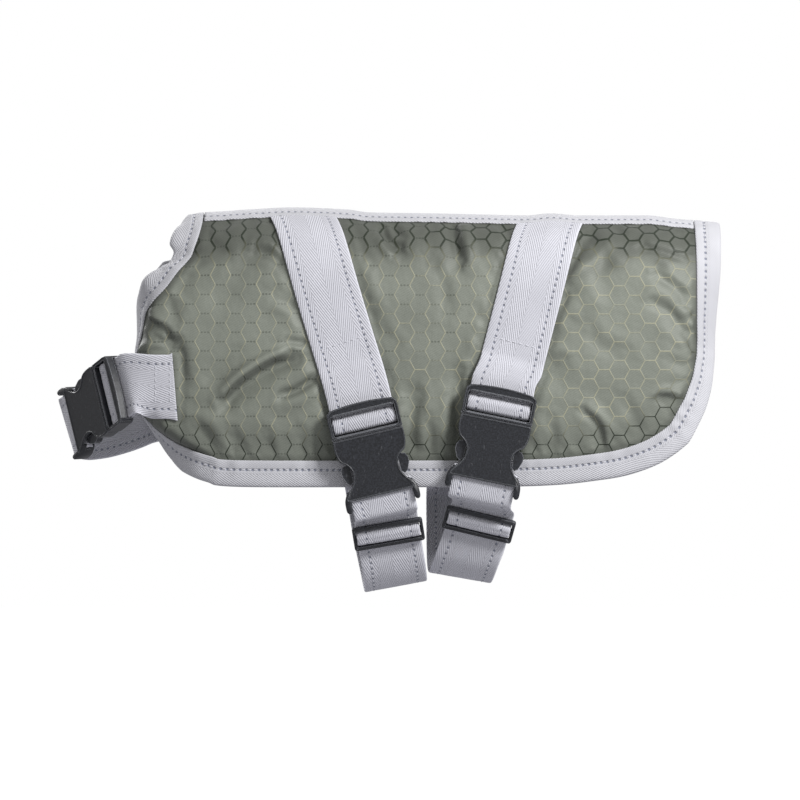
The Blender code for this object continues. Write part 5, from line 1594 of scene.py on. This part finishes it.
def plastic_finish(settings):
    """Black moulded plastic, finely grained and lightly scuffed, with a painted highlight on its eased edges.
    """
    made, steps, surface = shader("Black moulded plastic")
    m = steps.math
    place = steps.node("ShaderNodeTexCoord").outputs["Object"]
    grain = use_group(steps, "Moulded grain", Place=place)
    scuffed = m("MULTIPLY", grain["Scuffs"], 0.9)
    # Painted highlight: pale colour along the eased edges, where the bevel's normal leans from the face's
    eased = steps.node("ShaderNodeBevel")
    eased.inputs["Radius"].default_value = 2.4 * settings.edge
    lean = steps.node("ShaderNodeVectorMath", operation="DOT_PRODUCT")
    steps.put(lean.inputs[0], eased.outputs["Normal"])
    steps.put(lean.inputs[1], steps.node("ShaderNodeNewGeometry").outputs["Normal"])
    edge_glint = steps.fade(lean.outputs["Value"], 0.82, 0.98, 1.0, 0.0)
    cloudy = steps.fade(steps.noise(place, 1100.0, 5.0), 0.38, 0.64)
    base = steps.mix(cloudy, tinted(settings.colour, 0.62), tinted(settings.colour, 1.55))
    base = steps.mix(scuffed, base, (0.09, 0.092, 0.10))
    glint_share = m("MULTIPLY", edge_glint, 0.85)
    steps.put(surface.inputs["Base Color"], steps.mix(glint_share, base, (0.34, 0.35, 0.38)))
    rough = m("MULTIPLY", grain["Grain"], 0.12)
    steps.put(surface.inputs["Roughness"], m("ADD", settings.roughness, rough))
    surface.inputs["Specular IOR Level"].default_value = 0.6
    steps.put(surface.inputs["Normal"], steps.bump(grain["Grain"], 0.25, 0.00005))
    return made


def finishes():
    """All the materials, made once."""
    known = bpy.data.materials
    if "Sewing thread" not in known:
        coat = bpy.context.scene.dog_coat
        for group in (hexagon_group, herringbone_group, stitch_hole_group, grain_group):
            group()
        cloth_finish(coat.cloth)
        tape, webbing = coat.tape, coat.webbing
        woven_finish("Edge tape weave", "tape", tape, TAPE_WIDTH / 2, TAPE_ROW, tape.pitch, two_rows=False)
        woven_finish("Back tape weave", "tape", tape, BACK_TAPE_ROW, BACK_TAPE_ROW, tape.back_pitch)
        woven_finish("Herringbone webbing", "webbing", webbing, webbing.lane / MM, webbing.row / MM,
                     webbing.pitch)
        plastic_finish(coat.plastic)
        thread_finish(coat.thread)
    return known


# ---------------------------------------------------------------- operators

class COAT_OT_sides(bpy.types.Operator):
    """Make the two padded sides"""
    bl_idname = "dog_coat.sides"
    bl_label = "Padded sides"

    def execute(self, context):
        cloth = context.scene.dog_coat.cloth
        for name, side in (("left", -1), ("right", 1)):
            piece = make_side(f"padded_side_{name}", side, cloth)
            finish_piece(piece, "Hexagon ripstop cloth", "cloth", f"side_panel_{name}")
        return {"FINISHED"}


class COAT_OT_edge_tape(bpy.types.Operator):
    """Make the two lengths of edge tape and their stitching"""
    bl_idname = "dog_coat.edge_tape"
    bl_label = "Edge tape"

    def execute(self, context):
        coat = context.scene.dog_coat
        sunk = 0.8 * TAPE_WALL
        for name, chain in zip(("neck", "hem"), edge_tape_parts()):
            piece, run = make_edge_tape(f"{name}_tape", chain, coat.tape)
            finish_piece(piece, "Edge tape weave", "tape", f"{name}_binding")
            whole, offs = run_lengths(chain_points(chain, TAPE_ROW, 0.0)), chain_normals(chain)
            lines = [(chain_points(chain, TAPE_ROW, lift), offs * sign, whole)
                     for lift, sign in ((SEAM_WALL + GAP + sunk, 1), (-GAP - sunk, -1))]
            make_stitches(f"{name}_tape_stitches", lines, coat.tape.pitch, "tape", coat.thread)
        return {"FINISHED"}


class COAT_OT_back_tape(bpy.types.Operator):
    """Make the tape over the back seam and its stitching"""
    bl_idname = "dog_coat.back_tape"
    bl_label = "Back tape"

    def execute(self, context):
        coat = context.scene.dog_coat
        piece, rows, length = make_back_tape(coat.tape)
        finish_piece(piece, "Back tape weave", "tape", "spine_tape")
        make_stitches("back_tape_stitches", rows, coat.tape.back_pitch, "tape", coat.thread)
        return {"FINISHED"}


class COAT_OT_webbing(bpy.types.Operator):
    """Make the belly and chest straps and their stitching"""
    bl_idname = "dog_coat.webbing"
    bl_label = "Webbing"

    def execute(self, context):
        coat = context.scene.dog_coat
        straps = {f"{key}_strap_left": left_strap_rows(key) for key in LEFT_STRAPS}
        straps |= {f"{key}_strap_right": right_strap_rows(key) for key in RIGHT_STRAPS}
        straps |= {"chest_strap_left": chest_left_rows(), "chest_strap_right": chest_right_rows()}
        for node, rough in straps.items():
            piece, lines, rows, run = make_webbing(node.replace("strap", "webbing"), rough)
            finish_piece(piece, "Herringbone webbing", "webbing", node)
            key, side = node.split("_strap_")
            if key == "chest":
                lines += [cross_line(rows, run, along, CHEST_CROSS_HALF) for along in CHEST_CROSSES]
            else:
                start, end = strap_line((LEFT_STRAPS if side == "left" else RIGHT_STRAPS)[key], "cross")
                lines.append(cross_line(rows, run, np.linalg.norm(end - start) - CROSS_BACK, CROSS_HALF))
            make_stitches(f"{piece.name}_stitches", lines, coat.webbing.pitch, "webbing", coat.thread)
        return {"FINISHED"}


class COAT_OT_hardware(bpy.types.Operator):
    """Finish the moulded buckles and sliders"""
    bl_idname = "dog_coat.hardware"
    bl_label = "Buckles and sliders"

    def execute(self, context):
        plastic = context.scene.dog_coat.plastic
        for name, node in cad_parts.items():
            if "buckle" in name or "slider" in name:
                node.data.materials.clear()
                node.data.materials.append(finishes()["Black moulded plastic"])
                eased = node.modifiers.new("eased edges", "BEVEL")
                eased.width = plastic.edge
                eased.segments = 2
                eased.limit_method = "ANGLE"
                eased.angle_limit = radians(40)
                eased.harden_normals = True
        buckles = {key: side_frame(LEFT_STRAPS[key]) for key in LEFT_STRAPS}
        buckles["chest"] = chest_frame()
        added = {f"{key}_buckle_beads": bead_mesh(place, plug_beads() + socket_beads())
                 for key, place in buckles.items()}
        added |= {f"{key}_slider_beads": bead_mesh(slider_frame(slider), slider_beads())
                  for key, slider in SLIDERS.items()}
        added |= {f"{key}_buckle_ears": ear_mesh(place) for key, place in buckles.items()}
        for name, made in added.items():
            finish_piece(new_piece(name, *made), "Black moulded plastic", "plastic")
        return {"FINISHED"}


class COAT_OT_stage(bpy.types.Operator):
    """Set up the floor, the studio light and the camera"""
    bl_idname = "dog_coat.stage"
    bl_label = "Stage"

    def execute(self, context):
        stage = context.scene.dog_coat.stage
        bpy.ops.mesh.primitive_plane_add(size=12.0, location=(0, 0, stage.floor))
        floor = context.object
        floor.name = "floor"
        pale, steps, surface = shader("Pale floor")
        seen = steps.node("ShaderNodeLightPath").outputs["Is Camera Ray"]
        steps.put(surface.inputs["Base Color"], steps.mix(seen, (0.34, 0.34, 0.36), (0.5, 0.5, 0.5)))
        surface.inputs["Emission Color"].default_value = WHITE
        steps.put(surface.inputs["Emission Strength"], steps.math("MULTIPLY", seen, 0.78))
        surface.inputs["Roughness"].default_value = 0.9
        floor.data.materials.append(pale)
        world = bpy.data.worlds.new("Studio")
        context.scene.world = world
        world.use_nodes = True
        nodes, steps = world.node_tree.nodes, Steps(world.node_tree)
        sky = nodes["Background"]
        sky.inputs["Color"].default_value = WHITE
        sky.inputs["Strength"].default_value = stage.sky
        behind = steps.node("ShaderNodeBackground")
        behind.inputs["Color"].default_value = WHITE
        seen = steps.node("ShaderNodeLightPath").outputs["Is Camera Ray"]
        both = steps.node("ShaderNodeMixShader")
        for socket, value in zip(both.inputs, (seen, sky.outputs[0], behind.outputs[0])):
            steps.put(socket, value)
        steps.put(nodes["World Output"].inputs["Surface"], both.outputs[0])
        for name, power, place in SOFT_BOXES:
            light = bpy.data.lights.new(name, "AREA")
            light.energy = getattr(stage, power)
            light.size = stage.box
            lamp = bpy.data.objects.new(name.replace(" ", "_"), light)
            lamp.location = place
            lamp.rotation_euler = (Vector(LIGHT_AIM) - lamp.location).to_track_quat("-Z", "Y").to_euler()
            lamp.visible_camera = False
            context.scene.collection.objects.link(lamp)
        camera = bpy.data.cameras.new("camera")
        camera.lens = stage.lens
        camera.clip_end = 80.0
        holder = bpy.data.objects.new("camera", camera)
        holder.location = Vector(stage.aim) - Vector((0, stage.distance, 0))
        holder.rotation_euler = (pi / 2, 0, 0)
        context.scene.collection.objects.link(holder)
        context.scene.camera = holder
        context.scene.view_settings.view_transform = "Standard"
        return {"FINISHED"}


class COAT_PT_panel(bpy.types.Panel):
    """Settings and steps of the dog coat"""
    bl_idname = "COAT_PT_panel"
    bl_label = "Dog coat"
    bl_space_type = "VIEW_3D"
    bl_region_type = "UI"
    bl_category = "Dog coat"

    def draw(self, context):
        coat = context.scene.dog_coat
        for key, steps in (("cloth", ("sides",)), ("tape", ("edge_tape", "back_tape")),
                           ("webbing", ("webbing",)), ("thread", ()), ("plastic", ("hardware",)),
                           ("stage", ("stage",))):
            box = self.layout.box()
            box.label(text=key.capitalize())
            group = getattr(coat, key)
            for setting in group.bl_rna.properties:
                if setting.identifier not in ("rna_type", "name"):
                    box.prop(group, setting.identifier)
            for step in steps:
                box.operator(f"dog_coat.{step}")


CLASSES = (ClothSettings, TapeSettings, WebbingSettings, ThreadSettings, PlasticSettings, StageSettings,
           CoatSettings, COAT_OT_sides, COAT_OT_edge_tape, COAT_OT_back_tape, COAT_OT_webbing,
           COAT_OT_hardware, COAT_OT_stage, COAT_PT_panel)


def register():
    for kind in CLASSES:
        bpy.utils.register_class(kind)
    bpy.types.Scene.dog_coat = PointerProperty(type=CoatSettings, name="Dog coat", description="Dog coat")


def unregister():
    del bpy.types.Scene.dog_coat
    for kind in reversed(CLASSES):
        bpy.utils.unregister_class(kind)


def main():
    register()
    for step in ("sides", "edge_tape", "back_tape", "webbing", "hardware", "stage"):
        getattr(bpy.ops.dog_coat, step)()


if __name__ == "__main__":
    main()
